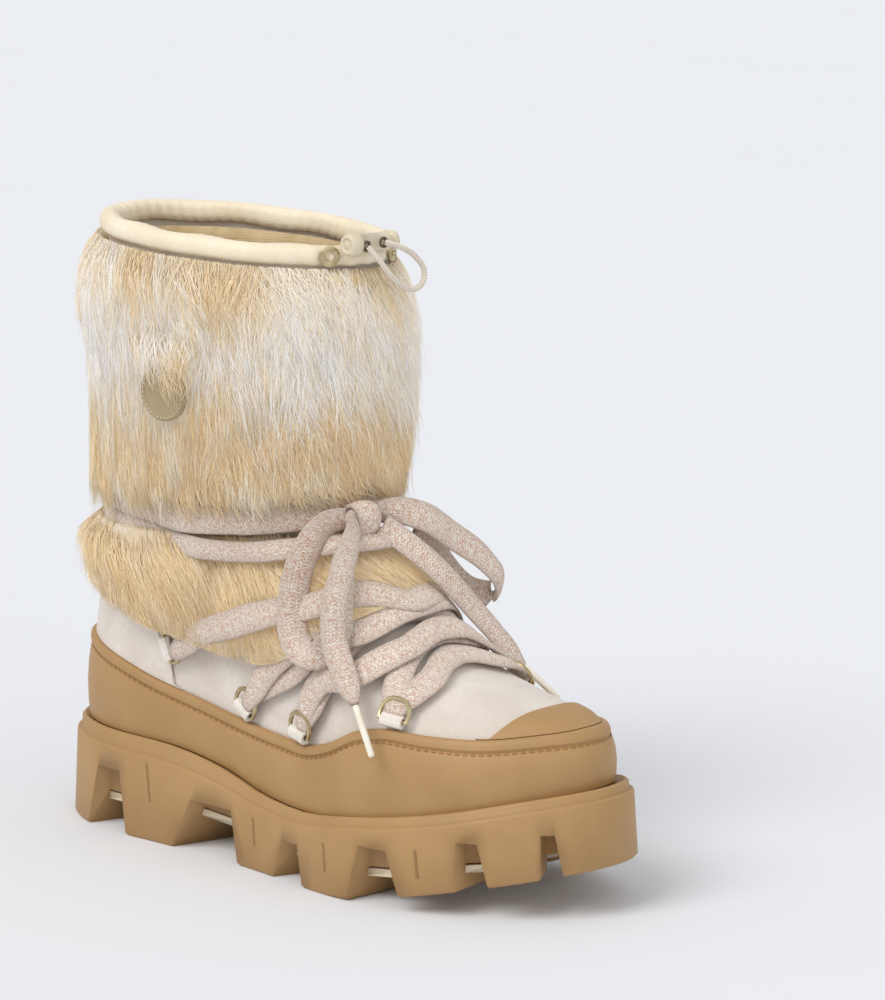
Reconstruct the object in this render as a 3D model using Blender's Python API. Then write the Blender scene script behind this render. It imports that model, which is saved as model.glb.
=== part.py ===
"""Apres ski boot, right foot, standing empty on its sole.

Metres, +Z up. The toe points along +X and the inner (medial) side of the foot
lies towards +Y. The boot is modelled from the back of its sole, at X = 0, and
the empty that carries every piece then moves it, so that the origin is at the
middle of its underside.
"""

import math

import bmesh
import bpy
import mathutils
import numpy as np

# Driving sizes of the sole
SOLE_LENGTH = 0.290
BALL_WIDTH = 0.105
HEEL_BLOCK = 0.039        # floor to the side ledge, at the heel
TOE_SPRING = 0.020        # rise of the tread at the tip of the toe
LEDGE_INSET = 0.0038
RIM_WIDTH = 0.0014        # flat top of the rim
PLATFORM_DROP = 0.0010    # the upper stands this far below the rim
SIDE_DRAFT = 0.0016
EDGE = 0.0012             # small rounding of rubber edges
WELT_MARGIN = 0.0076      # from the sole's outline in to the rand
TOE_MARGIN = 0.0098       # the same at the tip of the toe
WEB_INSET = 0.0090        # depth of the gaps between the lugs at the side
TREAD_THICKNESS = 0.0032
PLATE_SHARE = 0.955       # the plate's width as a share of the pocket's
TREAD_GAP = 0.0009        # under the web, whose faces are flat between its points

# Driving sizes of the upper
WALL = 0.0022
RAND_THICKNESS = 0.0025
BEAD_HEIGHT = 0.0042
BEAD_STEP = 0.0009
OVERLAY = 0.0014
TOE_BOX_HEIGHT = 0.078    # floor to the crown of the toe box
SHAFT_TOP = 0.2585        # floor to the edge of the shaft's leather
SHAFT_LENGTH = 0.134      # front to back at the collar
SHAFT_WIDTH = 0.092
SHAFT_CENTRE = 0.0895     # from the back of the sole
SHAFT_SIDE = 0.0070       # the leg stands this far to the inner side
INSOLE_THICKNESS = 0.0040
INSOLE_LIFT = 0.0014
INSOLE_EASE = 0.0012
FUR_DEPTH = 0.0125
COLLAR_RADIUS = 0.0034

GAP = 0.0003
RAND_GAP = 0.0006
BASE_GAP = 0.0006         # over the platform, whose strips are chords of its curve
COLUMNS = 48
SOLE_COLUMNS = 72

MODEL = "apres_ski_boot"


def smooth(xs, ys, x):
    """A smooth curve through the rows of a table, read at x."""
    xs, ys = np.asarray(xs, float), np.asarray(ys, float)
    slope = np.gradient(ys, xs)
    x = np.clip(np.asarray(x, float), xs[0], xs[-1])
    i = np.clip(np.searchsorted(xs, x) - 1, 0, len(xs) - 2)
    step = xs[i + 1] - xs[i]
    t = (x - xs[i]) / step
    return (
        ys[i] * (1 + 2 * t) * (1 - t) ** 2
        + ys[i + 1] * t * t * (3 - 2 * t)
        + slope[i] * step * t * (1 - t) ** 2
        - slope[i + 1] * step * t * t * (1 - t)
    )


def column(table, index):
    return [row[index] for row in table]


# Outline of the sole. Station as a share of SOLE_LENGTH, then how far the outer
# and the inner edge stand from the middle line, as shares of BALL_WIDTH.
OUTLINE = (
    (0.00, 0.335, 0.315),
    (0.14, 0.350, 0.325),
    (0.32, 0.360, 0.318),
    (0.42, 0.378, 0.342),
    (0.52, 0.420, 0.410),
    (0.62, 0.470, 0.476),
    (0.72, 0.490, 0.510),
    (1.00, 0.490, 0.510),
)
HEEL_ROUND = 0.190        # share of the length over which the heel closes
TOE_ROUND = 0.300
EVEN = 0.12               # spaces the outline's points more evenly along the foot
TOE_SWING = 0.062         # the toe lies this share of BALL_WIDTH to the inner side

# Side of the sole: station, then the heights of the ledge, of the rim above it and
# of the underside of the web between the lugs, as shares of HEEL_BLOCK.
SIDE = (
    (0.00, 0.970, 1.110, 0.385),
    (0.18, 0.935, 1.095, 0.385),
    (0.30, 0.895, 1.060, 0.455),
    (0.38, 0.820, 0.970, 0.430),
    (0.48, 0.675, 0.795, 0.350),
    (0.57, 0.650, 0.755, 0.320),
    (0.68, 0.755, 0.855, 0.335),
    (0.82, 0.925, 1.030, 0.490),
    (0.93, 1.115, 1.220, 0.620),
    (1.00, 1.215, 1.325, 0.700),
)


def closing(x, inset, toe_inset):
    """How far the outline has closed at the heel and the toe: 1 between them."""
    heel = HEEL_ROUND * SOLE_LENGTH
    toe = TOE_ROUND * SOLE_LENGTH
    back = np.clip((heel - x) / (heel - inset), 0, 1)
    front = np.clip((x - (SOLE_LENGTH - toe)) / (toe - toe_inset), 0, 1)
    return np.sqrt(1 - back**2) * np.sqrt(1 - front**2)


def middle(x):
    """Y of the outline's middle line."""
    start = (1 - TOE_ROUND) * SOLE_LENGTH
    t = np.clip((x - start) / (SOLE_LENGTH - start), 0, 1)
    return TOE_SWING * BALL_WIDTH * t


def half_width(x, inner, inset, toe_inset):
    """Distance from the middle line to the edge, on the inner or outer side."""
    share = np.where(
        inner,
        smooth(column(OUTLINE, 0), column(OUTLINE, 2), x / SOLE_LENGTH),
        smooth(column(OUTLINE, 0), column(OUTLINE, 1), x / SOLE_LENGTH),
    )
    return (share * BALL_WIDTH - inset) * closing(x, inset, toe_inset)


def ledge(x):
    return HEEL_BLOCK * smooth(column(SIDE, 0), column(SIDE, 1), x / SOLE_LENGTH)


def rim(x):
    return HEEL_BLOCK * smooth(column(SIDE, 0), column(SIDE, 2), x / SOLE_LENGTH)


def web(x):
    return HEEL_BLOCK * smooth(column(SIDE, 0), column(SIDE, 3), x / SOLE_LENGTH)


def platform(x):
    """Top of the sole inside its rim, which carries the upper."""
    return rim(x) - PLATFORM_DROP


SPRING_START = 0.670      # share of the length where the tread leaves the floor


def tread(x):
    t = np.clip((x / SOLE_LENGTH - SPRING_START) / (1 - SPRING_START), 0, 1)
    return TOE_SPRING * t**1.06


def outline(inset, count=SOLE_COLUMNS, toe_inset=None):
    """Points round the sole, from the back along the outer side to the toe."""
    toe_inset = inset if toe_inset is None else toe_inset
    turn = np.linspace(0, 2 * math.pi, count, endpoint=False)
    turn += EVEN / 2 * np.sin(2 * turn)
    x = inset + (SOLE_LENGTH - inset - toe_inset) * (1 - np.cos(turn)) / 2
    inner = turn > math.pi
    side = np.where(inner, 1.0, -1.0)
    side[0] = 0.0
    side[count // 2] = 0.0
    y = middle(x) + side * half_width(x, inner, inset, toe_inset)
    return np.stack([x, y], axis=1)


# The last: foot sections, then the leg. Station as a share of SOLE_LENGTH, the
# height of the ridge as a share of TOE_BOX_HEIGHT, and how square the section is.
FOOT = (
    (0.00, 1.50, 2.6),
    (0.20, 1.60, 2.6),
    (0.38, 1.75, 2.6),
    (0.50, 1.74, 2.5),
    (0.57, 1.60, 2.5),
    (0.64, 1.38, 2.6),
    (0.72, 1.165, 2.8),
    (0.79, 1.055, 3.0),
    (0.87, 0.990, 3.2),
    (0.94, 0.970, 3.2),
    (1.00, 0.950, 3.2),
)
HEEL_BLUNT = 2.1
HEEL_DROP = 0.14          # share of the length over which the heel's back rises
TOE_BLUNT = 5.4
TOE_DROP = 0.14           # share of the length over which the toe's front falls

# Height as a share of SHAFT_TOP, then the leg's section: centre, length and width
# as shares of SHAFT_CENTRE, SHAFT_LENGTH and SHAFT_WIDTH.
LEG = (
    (0.00, 0.80, 0.70, 0.34),
    (0.25, 0.83, 0.87, 0.56),
    (0.40, 0.875, 0.91, 0.76),
    (0.52, 0.91, 0.94, 0.85),
    (0.66, 0.95, 0.97, 0.93),
    (0.82, 0.99, 0.99, 0.98),
    (1.00, 1.00, 1.00, 1.00),
)
BLEND = 0.006
FOOT_AXIS = 0.045         # height of the line that turns round the foot start from


def last(x, y, z):
    """Field of the last, in metres: below zero inside, zero on the leather."""
    inset = WELT_MARGIN + RAND_THICKNESS + GAP
    toe_inset = TOE_MARGIN + RAND_THICKNESS + GAP
    share = x / SOLE_LENGTH
    inner = y > middle(x)
    width = np.maximum(half_width(x, inner, inset, toe_inset), 1e-5)
    ridge = TOE_BOX_HEIGHT * smooth(column(FOOT, 0), column(FOOT, 1), share)
    power = smooth(column(FOOT, 0), column(FOOT, 2), share)
    tip = SOLE_LENGTH - toe_inset
    drop = TOE_DROP * SOLE_LENGTH
    fall = np.clip((x - (tip - drop)) / drop, 0, 1)
    base = platform(x)
    back = np.clip(1 - (x - inset) / (HEEL_DROP * SOLE_LENGTH), 0, 1)
    closed = (1 - fall**TOE_BLUNT) ** (1 / TOE_BLUNT) * (1 - back**HEEL_BLUNT) ** (1 / HEEL_BLUNT)
    height = np.maximum((ridge - base) * closed, 1e-5)
    across = np.abs(y - middle(x)) / width
    above = np.maximum(z - base, 0) / height
    foot = ((across**power + above**power) ** (1 / power) - 1) * 0.045
    level = z / SHAFT_TOP
    centre = SHAFT_CENTRE * smooth(column(LEG, 0), column(LEG, 1), level)
    length = SHAFT_LENGTH / 2 * smooth(column(LEG, 0), column(LEG, 2), level)
    wide = SHAFT_WIDTH / 2 * smooth(column(LEG, 0), column(LEG, 3), level)
    lean = SHAFT_SIDE * np.clip((level - 0.15) / 0.4, 0, 1)
    round_ = np.sqrt(((x - centre) / length) ** 2 + ((y - lean) / wide) ** 2)
    leg = (round_ - 1) * 0.055
    low = np.minimum(foot, leg)
    high = np.maximum(foot, leg)
    return low - BLEND * np.log1p(np.exp(-(high - low) / BLEND))


def normals(points):
    """Outward normals of the last at points near its surface."""
    step = 1e-5
    x, y, z = points.T
    slope = np.stack(
        [
            last(x + step, y, z) - last(x - step, y, z),
            last(x, y + step, z) - last(x, y - step, z),
            last(x, y, z + step) - last(x, y, z - step),
        ],
        axis=1,
    )
    return slope / np.linalg.norm(slope, axis=1, keepdims=True)


def reach(start, towards, height):
    """Walk from start along each direction, at the height given for each X,
    until the surface of the last is met."""
    near = np.zeros(len(towards))
    far = np.full(len(towards), SOLE_LENGTH)
    for _ in range(40):
        mid = (near + far) / 2
        x = start[0] + towards[:, 0] * mid
        y = start[1] + towards[:, 1] * mid
        outside = last(x, y, height(x)) > 0
        far = np.where(outside, mid, far)
        near = np.where(outside, near, mid)
    x = start[0] + towards[:, 0] * near
    y = start[1] + towards[:, 1] * near
    return np.stack([x, y, height(x)], axis=1)


def ring(height, grow=0.0, turns=None, flat=False):
    """Points round the last at height(x), pushed out from it by grow. A turn of
    0 looks to the toe, a quarter to the inner side and a half to the heel. A flat
    ring is pushed out level, so that it stays on its height."""
    if turns is None:
        turns = np.arange(COLUMNS) / COLUMNS
    ends = reach((SHAFT_CENTRE, 0.0), np.array([(1.0, 0.0), (-1.0, 0.0)]), height)
    centre = ends[:, 0].mean()
    stretch = math.sqrt((ends[0, 0] - ends[1, 0]) / SHAFT_WIDTH)
    angle = 2 * math.pi * np.asarray(turns)
    towards = np.stack([stretch * np.cos(angle), np.sin(angle)], axis=1)
    towards /= np.linalg.norm(towards, axis=1, keepdims=True)
    points = reach((centre, SHAFT_SIDE * 0.6), towards, height)
    away = normals(points)
    if flat:
        away[:, 2] = 0
        away /= np.linalg.norm(away, axis=1, keepdims=True)
        points = points + away * grow
        points[:, 2] = height(points[:, 0])
        return points
    return points + away * grow


def meet(start, towards):
    """The point where a walk from inside the last leaves it, with its normal."""
    start, towards = np.asarray(start, float), np.asarray(towards, float)
    near, far = 0.0, SOLE_LENGTH
    for _ in range(40):
        mid = (near + far) / 2
        x, y, z = start + towards * mid
        if last(x, y, z) > 0:
            far = mid
        else:
            near = mid
    point = start + towards * near
    return point, normals(point[None, :])[0]


def on_foot(station, turn):
    """A point of the foot at a station, turned from straight up (0) towards the
    outer side (minus) or the inner side (plus), with its normal."""
    angle = math.radians(turn)
    return meet((station * SOLE_LENGTH, 0.0, FOOT_AXIS), (0.0, math.sin(angle), math.cos(angle)))


def level(rear, front_station, front):
    """A height that runs straight from the heel to a station of the sole."""
    def height(x):
        return rear + (front - rear) * x / (front_station * SOLE_LENGTH)
    return height


def between(low, high, share):
    def height(x):
        return low(x) * (1 - share) + high(x) * share
    return height


def raised(height, rise):
    def lifted(x):
        return height(x) + rise
    return lifted


def clear_scene():
    for item in list(bpy.data.objects):
        bpy.data.objects.remove(item, do_unlink=True)


def material(name, colour, roughness, metallic=0.0):
    made = bpy.data.materials.new(name)
    made.use_nodes = True
    shader = made.node_tree.nodes["Principled BSDF"]
    shader.inputs["Base Color"].default_value = (*colour, 1.0)
    shader.inputs["Roughness"].default_value = roughness
    shader.inputs["Metallic"].default_value = metallic
    return made


def add_object(name, mesh, finish, sharp=40):
    item = bpy.data.objects.new(name, mesh)
    parts.objects.link(item)
    item.parent = root
    if finish is not None:
        mesh.materials.append(finish)
    mesh.shade_smooth()
    mesh.set_sharp_from_angle(angle=math.radians(sharp))
    return item


def band(name, loops, finish, sharp=40):
    """A closed ring solid: each loop of points joins the next, the last the first."""
    work = bmesh.new()
    made = [[work.verts.new(point) for point in loop] for loop in loops]
    for one, two in zip(made, made[1:] + made[:1]):
        for i in range(len(one)):
            j = (i + 1) % len(one)
            work.faces.new((one[i], one[j], two[j], two[i]))
    return finish_mesh(name, work, finish, sharp)


def finish_mesh(name, work, finish, sharp=40):
    bmesh.ops.recalc_face_normals(work, faces=work.faces)
    mesh = bpy.data.meshes.new(name)
    work.to_mesh(mesh)
    work.free()
    return add_object(name, mesh, finish, sharp)


def stack(name, loops, finish, sharp=40):
    """A solid of closed loops of the sole's outline, with a floor and a top of
    strips across it, which follow its rise along the foot."""
    work = bmesh.new()
    made = [[work.verts.new(point) for point in loop] for loop in loops]
    count = len(made[0])
    for one, two in zip(made, made[1:]):
        for i in range(count):
            j = (i + 1) % count
            work.faces.new((one[i], one[j], two[j], two[i]))
    for loop in (made[0], made[-1]):
        work.faces.new((loop[0], loop[1], loop[-1]))
        for i in range(1, count // 2 - 1):
            work.faces.new((loop[i], loop[i + 1], loop[-i - 1], loop[-i]))
        half = count // 2
        work.faces.new((loop[half - 1], loop[half], loop[half + 1]))
    return finish_mesh(name, work, finish, sharp)


def lift(flat, height):
    """Sets points of an outline at a height worked out from their X."""
    return np.column_stack([flat, height(flat[:, 0])])


def cut(target, cutter, operation="DIFFERENCE"):
    cutter.hide_render = True
    cutter.display_type = "WIRE"
    for collection in list(cutter.users_collection):
        collection.objects.unlink(cutter)
    cutters.objects.link(cutter)
    step = target.modifiers.new(cutter.name, "BOOLEAN")
    step.operation = operation
    step.object = cutter
    return step


# Gaps between the lugs, on both sides. Station and width at the web, and how far
# the back and the front wall slant out to the floor, as shares of SOLE_LENGTH;
# then the rise of the gap's roof above the web as a share of HEEL_BLOCK.
GAPS = (
    (0.157, 0.052, 0.026, 0.018, 0.31),
    (0.377, 0.086, 0.038, 0.021, 0.13),
    (0.554, 0.038, 0.018, 0.018, 0.10),
    (0.724, 0.048, 0.020, 0.032, 0.23),
    (0.864, 0.030, 0.000, 0.030, 0.235),
    (0.955, 0.020, 0.000, 0.026, 0.235),
)
LUG_DEPTH = 0.029
GROOVES = (0.250, 0.478, 0.640, 0.797)   # stations of the grooves down the lugs' faces
GROOVE_WIDTH = 0.0016
GROOVE_DEPTH = 0.0010
GROOVE_LENGTH = 0.0165
SLANT = 12.0              # degrees that the gaps turn back as they run in
BELOW = 0.012             # how far the cutters reach under the floor


def gap_frame(station, side):
    """A point of the outline at a station, with the directions along it towards
    the toe and in to the middle of the foot."""
    x = station * SOLE_LENGTH
    nudge = 0.0005

    def edge(at):
        return np.array([at, middle(at) + side * half_width(at, side > 0, 0.0, 0.0)])

    along = edge(x + nudge) - edge(x - nudge)
    along /= np.linalg.norm(along)
    inward = np.array([-along[1], along[0]]) * -side
    turn = math.radians(SLANT) * side
    slanted = np.array(
        [
            inward[0] * math.cos(turn) - inward[1] * math.sin(turn),
            inward[0] * math.sin(turn) + inward[1] * math.cos(turn),
        ]
    )
    return edge(x), along, slanted


def gap_cutter(name, row, side, clear=0.0, web_only=False):
    """A gap as a prism with slanted walls: high near the side of the sole and
    lower under its web. With web_only it is the tongue of tread that shows there."""
    station, width, rear_slant, front_slant, roof = row
    origin, along, inward = gap_frame(station, side)
    x = station * SOLE_LENGTH
    top = web(x) + roof * HEEL_BLOCK
    span = SOLE_LENGTH * width / 2
    inner = LUG_DEPTH + 0.004
    work = bmesh.new()
    ends = []
    for slant, sign in ((rear_slant, -1), (front_slant, 1)):
        loop = []
        under = web(x + sign * span)
        if web_only:
            low = under - TREAD_GAP - TREAD_THICKNESS + 0.0001
            high = under - TREAD_GAP - 0.0001
            profile = ((WEB_INSET + clear, low), (WEB_INSET + clear, high), (inner, high), (inner, low))
        else:
            profile = (
                (-0.012, -BELOW), (-0.012, top), (WEB_INSET, top),
                (WEB_INSET, under), (inner, under), (inner, -BELOW),
            )
        for depth, z in profile:
            spread = span + slant * SOLE_LENGTH * (top - z) / top - clear
            flat = origin + inward * depth + along * sign * spread
            loop.append(work.verts.new((flat[0], flat[1], z)))
        ends.append(loop)
    count = len(profile)
    for i in range(count):
        j = (i + 1) % count
        work.faces.new((ends[0][i], ends[0][j], ends[1][j], ends[1][i]))
    work.faces.new(ends[0])
    work.faces.new(ends[1])
    return finish_mesh(name, work, None)


def under_floor(x):
    return np.full_like(x, -BELOW)


def make_outsole():
    rim_edge = LEDGE_INSET + EDGE
    rows = (
        (EDGE, tread),
        (0.0, raised(tread, EDGE)),
        (SIDE_DRAFT, raised(ledge, -EDGE)),
        (SIDE_DRAFT + EDGE * 0.6, ledge),
        (LEDGE_INSET, ledge),
        (LEDGE_INSET, raised(rim, -EDGE)),
        (rim_edge, rim),
        (rim_edge + RIM_WIDTH - PLATFORM_DROP, rim),
        (rim_edge + RIM_WIDTH, platform),
    )
    sole = stack("outsole", [lift(outline(inset), height) for inset, height in rows], rubber, 30)
    pocket = stack(
        "outsole_pocket",
        [lift(outline(LUG_DEPTH, 32), under_floor), lift(outline(LUG_DEPTH, 32), web)],
        None,
    )
    cut(sole, pocket)
    for side, word in ((-1, "outer"), (1, "inner")):
        for number, row in enumerate(GAPS, 1):
            cut(sole, gap_cutter(f"gap_{word}_{number}", row, side))
    return sole


# Top edge of the rand: station as a share of SOLE_LENGTH, height as a share of
# TOE_BOX_HEIGHT.
RAND_TOP = (
    (0.00, 1.060),
    (0.06, 1.030),
    (0.11, 0.985),
    (0.17, 0.935),
    (0.23, 0.878),
    (0.32, 0.815),
    (0.42, 0.750),
    (0.52, 0.718),
    (0.57, 0.715),
    (0.62, 0.765),
    (0.665, 0.845),
    (0.71, 0.880),
    (0.78, 0.872),
    (0.86, 0.875),
    (0.93, 0.910),
    (1.00, 0.940),
)
CAP_STATION = 0.888       # back edge of the toe cap, where it meets the rand
CAP_LEAN = 2.6            # the edge climbs this much faster than it runs forward
CAP_RISE = 0.0024         # height of the strip that carries the edge on round the foot
CAP_END = 0.868           # the toe cap's points reach back to this station


def rand_top(x):
    return TOE_BOX_HEIGHT * smooth(column(RAND_TOP, 0), column(RAND_TOP, 1), x / SOLE_LENGTH)


def cap_edge(x):
    """Height just over the rand, which climbs steeply at the toe cap's edge."""
    ahead = np.maximum(x - CAP_STATION * SOLE_LENGTH, 0)
    return rand_top(x) + CAP_RISE + CAP_LEAN * ahead


# Loops of the upper above the toe cap: height at the heel as a share of SHAFT_TOP,
# then the station and the height of the front, as shares of SOLE_LENGTH and SHAFT_TOP.
LEVELS = (
    (0.385, 0.82, 0.309),
    (0.402, 0.745, 0.338),
    (0.420, 0.680, 0.378),
    (0.442, 0.625, 0.425),
    (0.480, 0.585, 0.482),
    (0.508, 0.571, 0.512),
    (0.535, 0.560, 0.540),
    (0.572, 0.554, 0.572),
    (0.610, 0.550, 0.605),
    (0.740, 0.550, 0.720),
    (0.880, 0.550, 0.850),
    (1.010, 0.550, 0.970),
)


def rand_heights():
    """Loops that the rand and the upper share, so that they stay parallel."""
    foot = raised(platform, BASE_GAP)
    neck = raised(rand_top, -BEAD_HEIGHT)
    return [foot, between(foot, neck, 0.45), neck, rand_top]


def cap_heights():
    return [rand_top, between(rand_top, cap_edge, 0.5), cap_edge]


def leg_heights():
    return [level(rear * SHAFT_TOP, station, front * SHAFT_TOP) for rear, station, front in LEVELS]


def make_upper():
    heights = rand_heights() + cap_heights()[1:] + leg_heights()
    outer = [ring(height) for height in heights]
    inner = [ring(height, -WALL) for height in heights[::2] + heights[-1:]]
    inner[0] = ring(heights[0], -WALL, flat=True)
    return band("upper", outer + inner[::-1], suede)


def make_insole():
    inside = -WALL - INSOLE_EASE
    foot = raised(platform, INSOLE_LIFT)
    top = raised(platform, INSOLE_LIFT + INSOLE_THICKNESS)
    return stack("insole", [ring(foot, inside, flat=True), ring(top, inside)], lining)


def make_rand():
    foot, middle_row, neck, top = rand_heights()
    out = GAP + RAND_THICKNESS
    rows = (
        (foot, out),
        (middle_row, out + 0.0008),
        (raised(neck, -0.0006), out - 0.0004),
        (neck, out - 0.0004 + BEAD_STEP),
        (raised(top, -0.0009), out - 0.0004 + BEAD_STEP),
        (top, out - 0.0010),
        (top, RAND_GAP),
        (neck, RAND_GAP),
        (middle_row, RAND_GAP),
        (foot, RAND_GAP),
    )
    loops = [ring(height, grow, flat=height is foot) for height, grow in rows]
    return band("rand", loops, rubber, 30)


def patch(name, heights, turns, inner_grow, thickness, finish):
    """A piece cut from the upper's own surface: loops of points over part of a turn,
    at each height, with a wall."""
    low = [ring(height, inner_grow, turns) for height in heights]
    high = [ring(height, inner_grow + thickness, turns) for height in heights]
    work = bmesh.new()
    grids = [[[work.verts.new(point) for point in row] for row in side] for side in (low, high)]
    rows, count = len(heights), len(turns)
    for grid in grids:
        for r in range(rows - 1):
            for c in range(count - 1):
                work.faces.new((grid[r][c], grid[r][c + 1], grid[r + 1][c + 1], grid[r + 1][c]))
    border = [(0, c) for c in range(count)] + [(r, count - 1) for r in range(1, rows)]
    border += [(rows - 1, c) for c in range(count - 2, -1, -1)]
    border += [(r, 0) for r in range(rows - 2, 0, -1)]
    for (r, c), (r2, c2) in zip(border, border[1:] + border[:1]):
        work.faces.new((grids[0][r][c], grids[0][r2][c2], grids[1][r2][c2], grids[1][r][c]))
    return finish_mesh(name, work, finish, 30)


def make_toe_cap():
    heights = cap_heights()
    heights[0] = raised(rand_top, GAP)
    ahead = ring(rand_top)[: COLUMNS // 2, 0] > CAP_END * SOLE_LENGTH
    span = np.count_nonzero(ahead) - 1
    turns = np.arange(-span, span + 1) / COLUMNS
    return patch("toe_cap", heights, turns, GAP, OVERLAY, rubber)


def make_heel_counter():
    heights = [raised(rand_top, GAP), cap_heights()[1], cap_edge, leg_heights()[0]]
    behind = ring(leg_heights()[0])[COLUMNS // 2 :, 0] < COUNTER_END * SOLE_LENGTH
    span = np.count_nonzero(behind) - 1
    turns = 0.5 + np.arange(-span, span + 1) / COLUMNS
    return patch("heel_counter", heights, turns, GAP, OVERLAY, suede)


def slab(name, loop, low, high):
    """A flat slab between two heights, from a loop of points or from two rows."""
    return stack(name, [np.column_stack([loop, low]), np.column_stack([loop, high])], tread_rubber)


def make_tread_plate():
    """Cream tread under the web: a plate in the middle with a tongue in every gap
    but the last, at the toe."""
    middle_loop = outline(LUG_DEPTH, 32)
    middle_loop[:, 1] *= PLATE_SHARE
    top = web(middle_loop[:, 0]) - TREAD_GAP
    plate = slab("tread_plate", middle_loop, top - TREAD_THICKNESS, top)
    for side, word in ((-1, "outer"), (1, "inner")):
        for number, row in enumerate(GAPS[:-1], 1):
            tongue = gap_cutter(f"tread_tongue_{word}_{number}", row, side, GAP, True)
            cut(plate, tongue, "UNION")
    return plate


def lock(turns, size):
    """Steps of the fur's locks round the leg: outwards and inwards by turns."""
    step = np.where(np.arange(len(turns)) % 2 == 0, 1.0, -1.0)
    return step * (1 + 0.45 * np.sin(turns * 2 * math.pi * 5.3 + size))


def fur_depth(turns, share, table):
    front = (1 + np.cos(2 * math.pi * turns)) / 2
    rear_depth = smooth(column(table, 0), column(table, 1), share)
    front_depth = smooth(column(table, 0), column(table, 2), share)
    return FUR_DEPTH * (rear_depth + (front_depth - rear_depth) * front)


def make_fur(name, low, high, rows, table, base):
    """A sleeve of fur: tiers of locks outside, the leather's own shape inside."""
    turns = np.arange(COLUMNS) / COLUMNS
    loops = []
    for number, (share, out, wave) in enumerate(rows):
        height = between(low, high, share)
        tooth = lock(turns, number) * wave
        depth = fur_depth(turns, share, table) * (out + LOCK_RELIEF * tooth)
        points = ring(height)
        points = points + normals(points) * (base + 0.0004 + depth)[:, None]
        points[:, 2] -= tooth * LOCK_DROP
        loops.append(points)
    for share in FUR_INNER:
        loops.append(ring(between(low, high, share), base))
    return band(name, loops, fur, 60)


def fur_hem(x):
    """Lower edge of the fur that covers the ankle."""
    return SHAFT_TOP * smooth(column(FUR_HEM, 0), column(FUR_HEM, 1), x / SOLE_LENGTH)


def collar_height():
    rear, station, front = LEVELS[-1]
    return level(rear * SHAFT_TOP, station, front * SHAFT_TOP)


def make_collar():
    edge = collar_height()
    loops = [ring(raised(edge, rise), grow) for rise, grow in COLLAR]
    return band("collar", loops, leather, 50)


def frame_at(point, out, along):
    """Three directions at a point: along, up the surface and out of it."""
    along = np.asarray(along, float) - out * np.dot(along, out)
    along /= np.linalg.norm(along)
    up = np.cross(out, along)
    if up[2] < 0:
        up = -up
    return along, up, out


def tube(name, points, radius, finish, cyclic=False):
    curve = bpy.data.curves.new(name, "CURVE")
    curve.dimensions = "3D"
    curve.bevel_depth = radius
    curve.bevel_resolution = 1 if cyclic else 2
    curve.use_fill_caps = True
    line = curve.splines.new("POLY")
    line.points.add(len(points) - 1)
    line.use_cyclic_u = cyclic
    for spot, point in zip(line.points, points):
        spot.co = (*point, 1.0)
    curve.materials.append(finish)
    item = bpy.data.objects.new(name, curve)
    parts.objects.link(item)
    item.parent = root
    return item


def prism(name, loops, finish, sharp=40):
    """A solid through loops of points, closed flat at both ends."""
    work = bmesh.new()
    made = [[work.verts.new(point) for point in loop] for loop in loops]
    count = len(made[0])
    for one, two in zip(made, made[1:]):
        for i in range(count):
            j = (i + 1) % count
            work.faces.new((one[i], one[j], two[j], two[i]))
    work.faces.new(made[0])
    work.faces.new(made[-1])
    return finish_mesh(name, work, finish, sharp)


def disc_loops(centre, axis, profile, count=16):
    """Loops of a turned shape: rows of (distance along the axis, radius)."""
    axis = np.asarray(axis, float) / np.linalg.norm(axis)
    side = np.cross(axis, (0.0, 0.0, 1.0))
    side /= np.linalg.norm(side)
    up = np.cross(side, axis)
    turn = 2 * math.pi * np.arange(count) / count
    rim_points = np.cos(turn)[:, None] * side + np.sin(turn)[:, None] * up
    return [np.asarray(centre) + axis * along + rim_points * radius for along, radius in profile]


def make_rings():
    for side, word in ((-1, "outer"), (1, "inner")):
        for number, (station, lean, *sides) in enumerate(RINGS, 1):
            turn, stand = sides[:2] if side < 0 else sides[2:]
            point, out = on_foot(station, turn * side)
            along, up, out = frame_at(point, out, (1.0, 0.0, 0.0))
            angle = math.radians(lean)
            bar = along * math.cos(angle) - up * math.sin(angle)
            rise = up * math.cos(angle) + along * math.sin(angle)
            centre = point - rise * RING_HEIGHT / 2 + out * stand
            tilted = rise * math.cos(RING_TILT) + out * math.sin(RING_TILT)
            wire = [centre + bar * a * RING_WIDTH + tilted * b * RING_HEIGHT for a, b in RING_SHAPE]
            tube(f"lace_ring_{word}_{number}", wire, RING_WIRE, brass, cyclic=True)
            loops = []
            for shift, shape in ((-1, 1.0), (1, 1.0), (1, 0.0), (-1, 0.0)):
                loop = []
                for a, b, tail in TAB_SHAPE:
                    radius = TAB_OUTER if shape else TAB_BORE
                    low = TAB_TAIL * tail * shape
                    spot = centre + rise * (a * radius - low) + out * b * radius
                    loop.append(spot + bar * shift * TAB_WIDTH / 2)
                loops.append(loop)
            band(f"ring_tab_{word}_{number}", loops, suede, 40)


def ribbon_loops(points, outs, width=None, thickness=None):
    """Cross-sections of a flat knitted lace that runs through points."""
    width = LACE_WIDTH if width is None else width
    thickness = LACE_THICKNESS if thickness is None else thickness
    points, outs = np.asarray(points), np.asarray(outs)
    along = np.gradient(points, axis=0)
    along /= np.linalg.norm(along, axis=1, keepdims=True)
    across = np.cross(along, outs)
    across /= np.linalg.norm(across, axis=1, keepdims=True)
    flat = np.cross(across, along)
    loops = []
    for point, a, b in zip(points, across, flat):
        loops.append([point + a * p * width + b * q * thickness for p, q in LACE_SECTION])
    return loops


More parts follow.
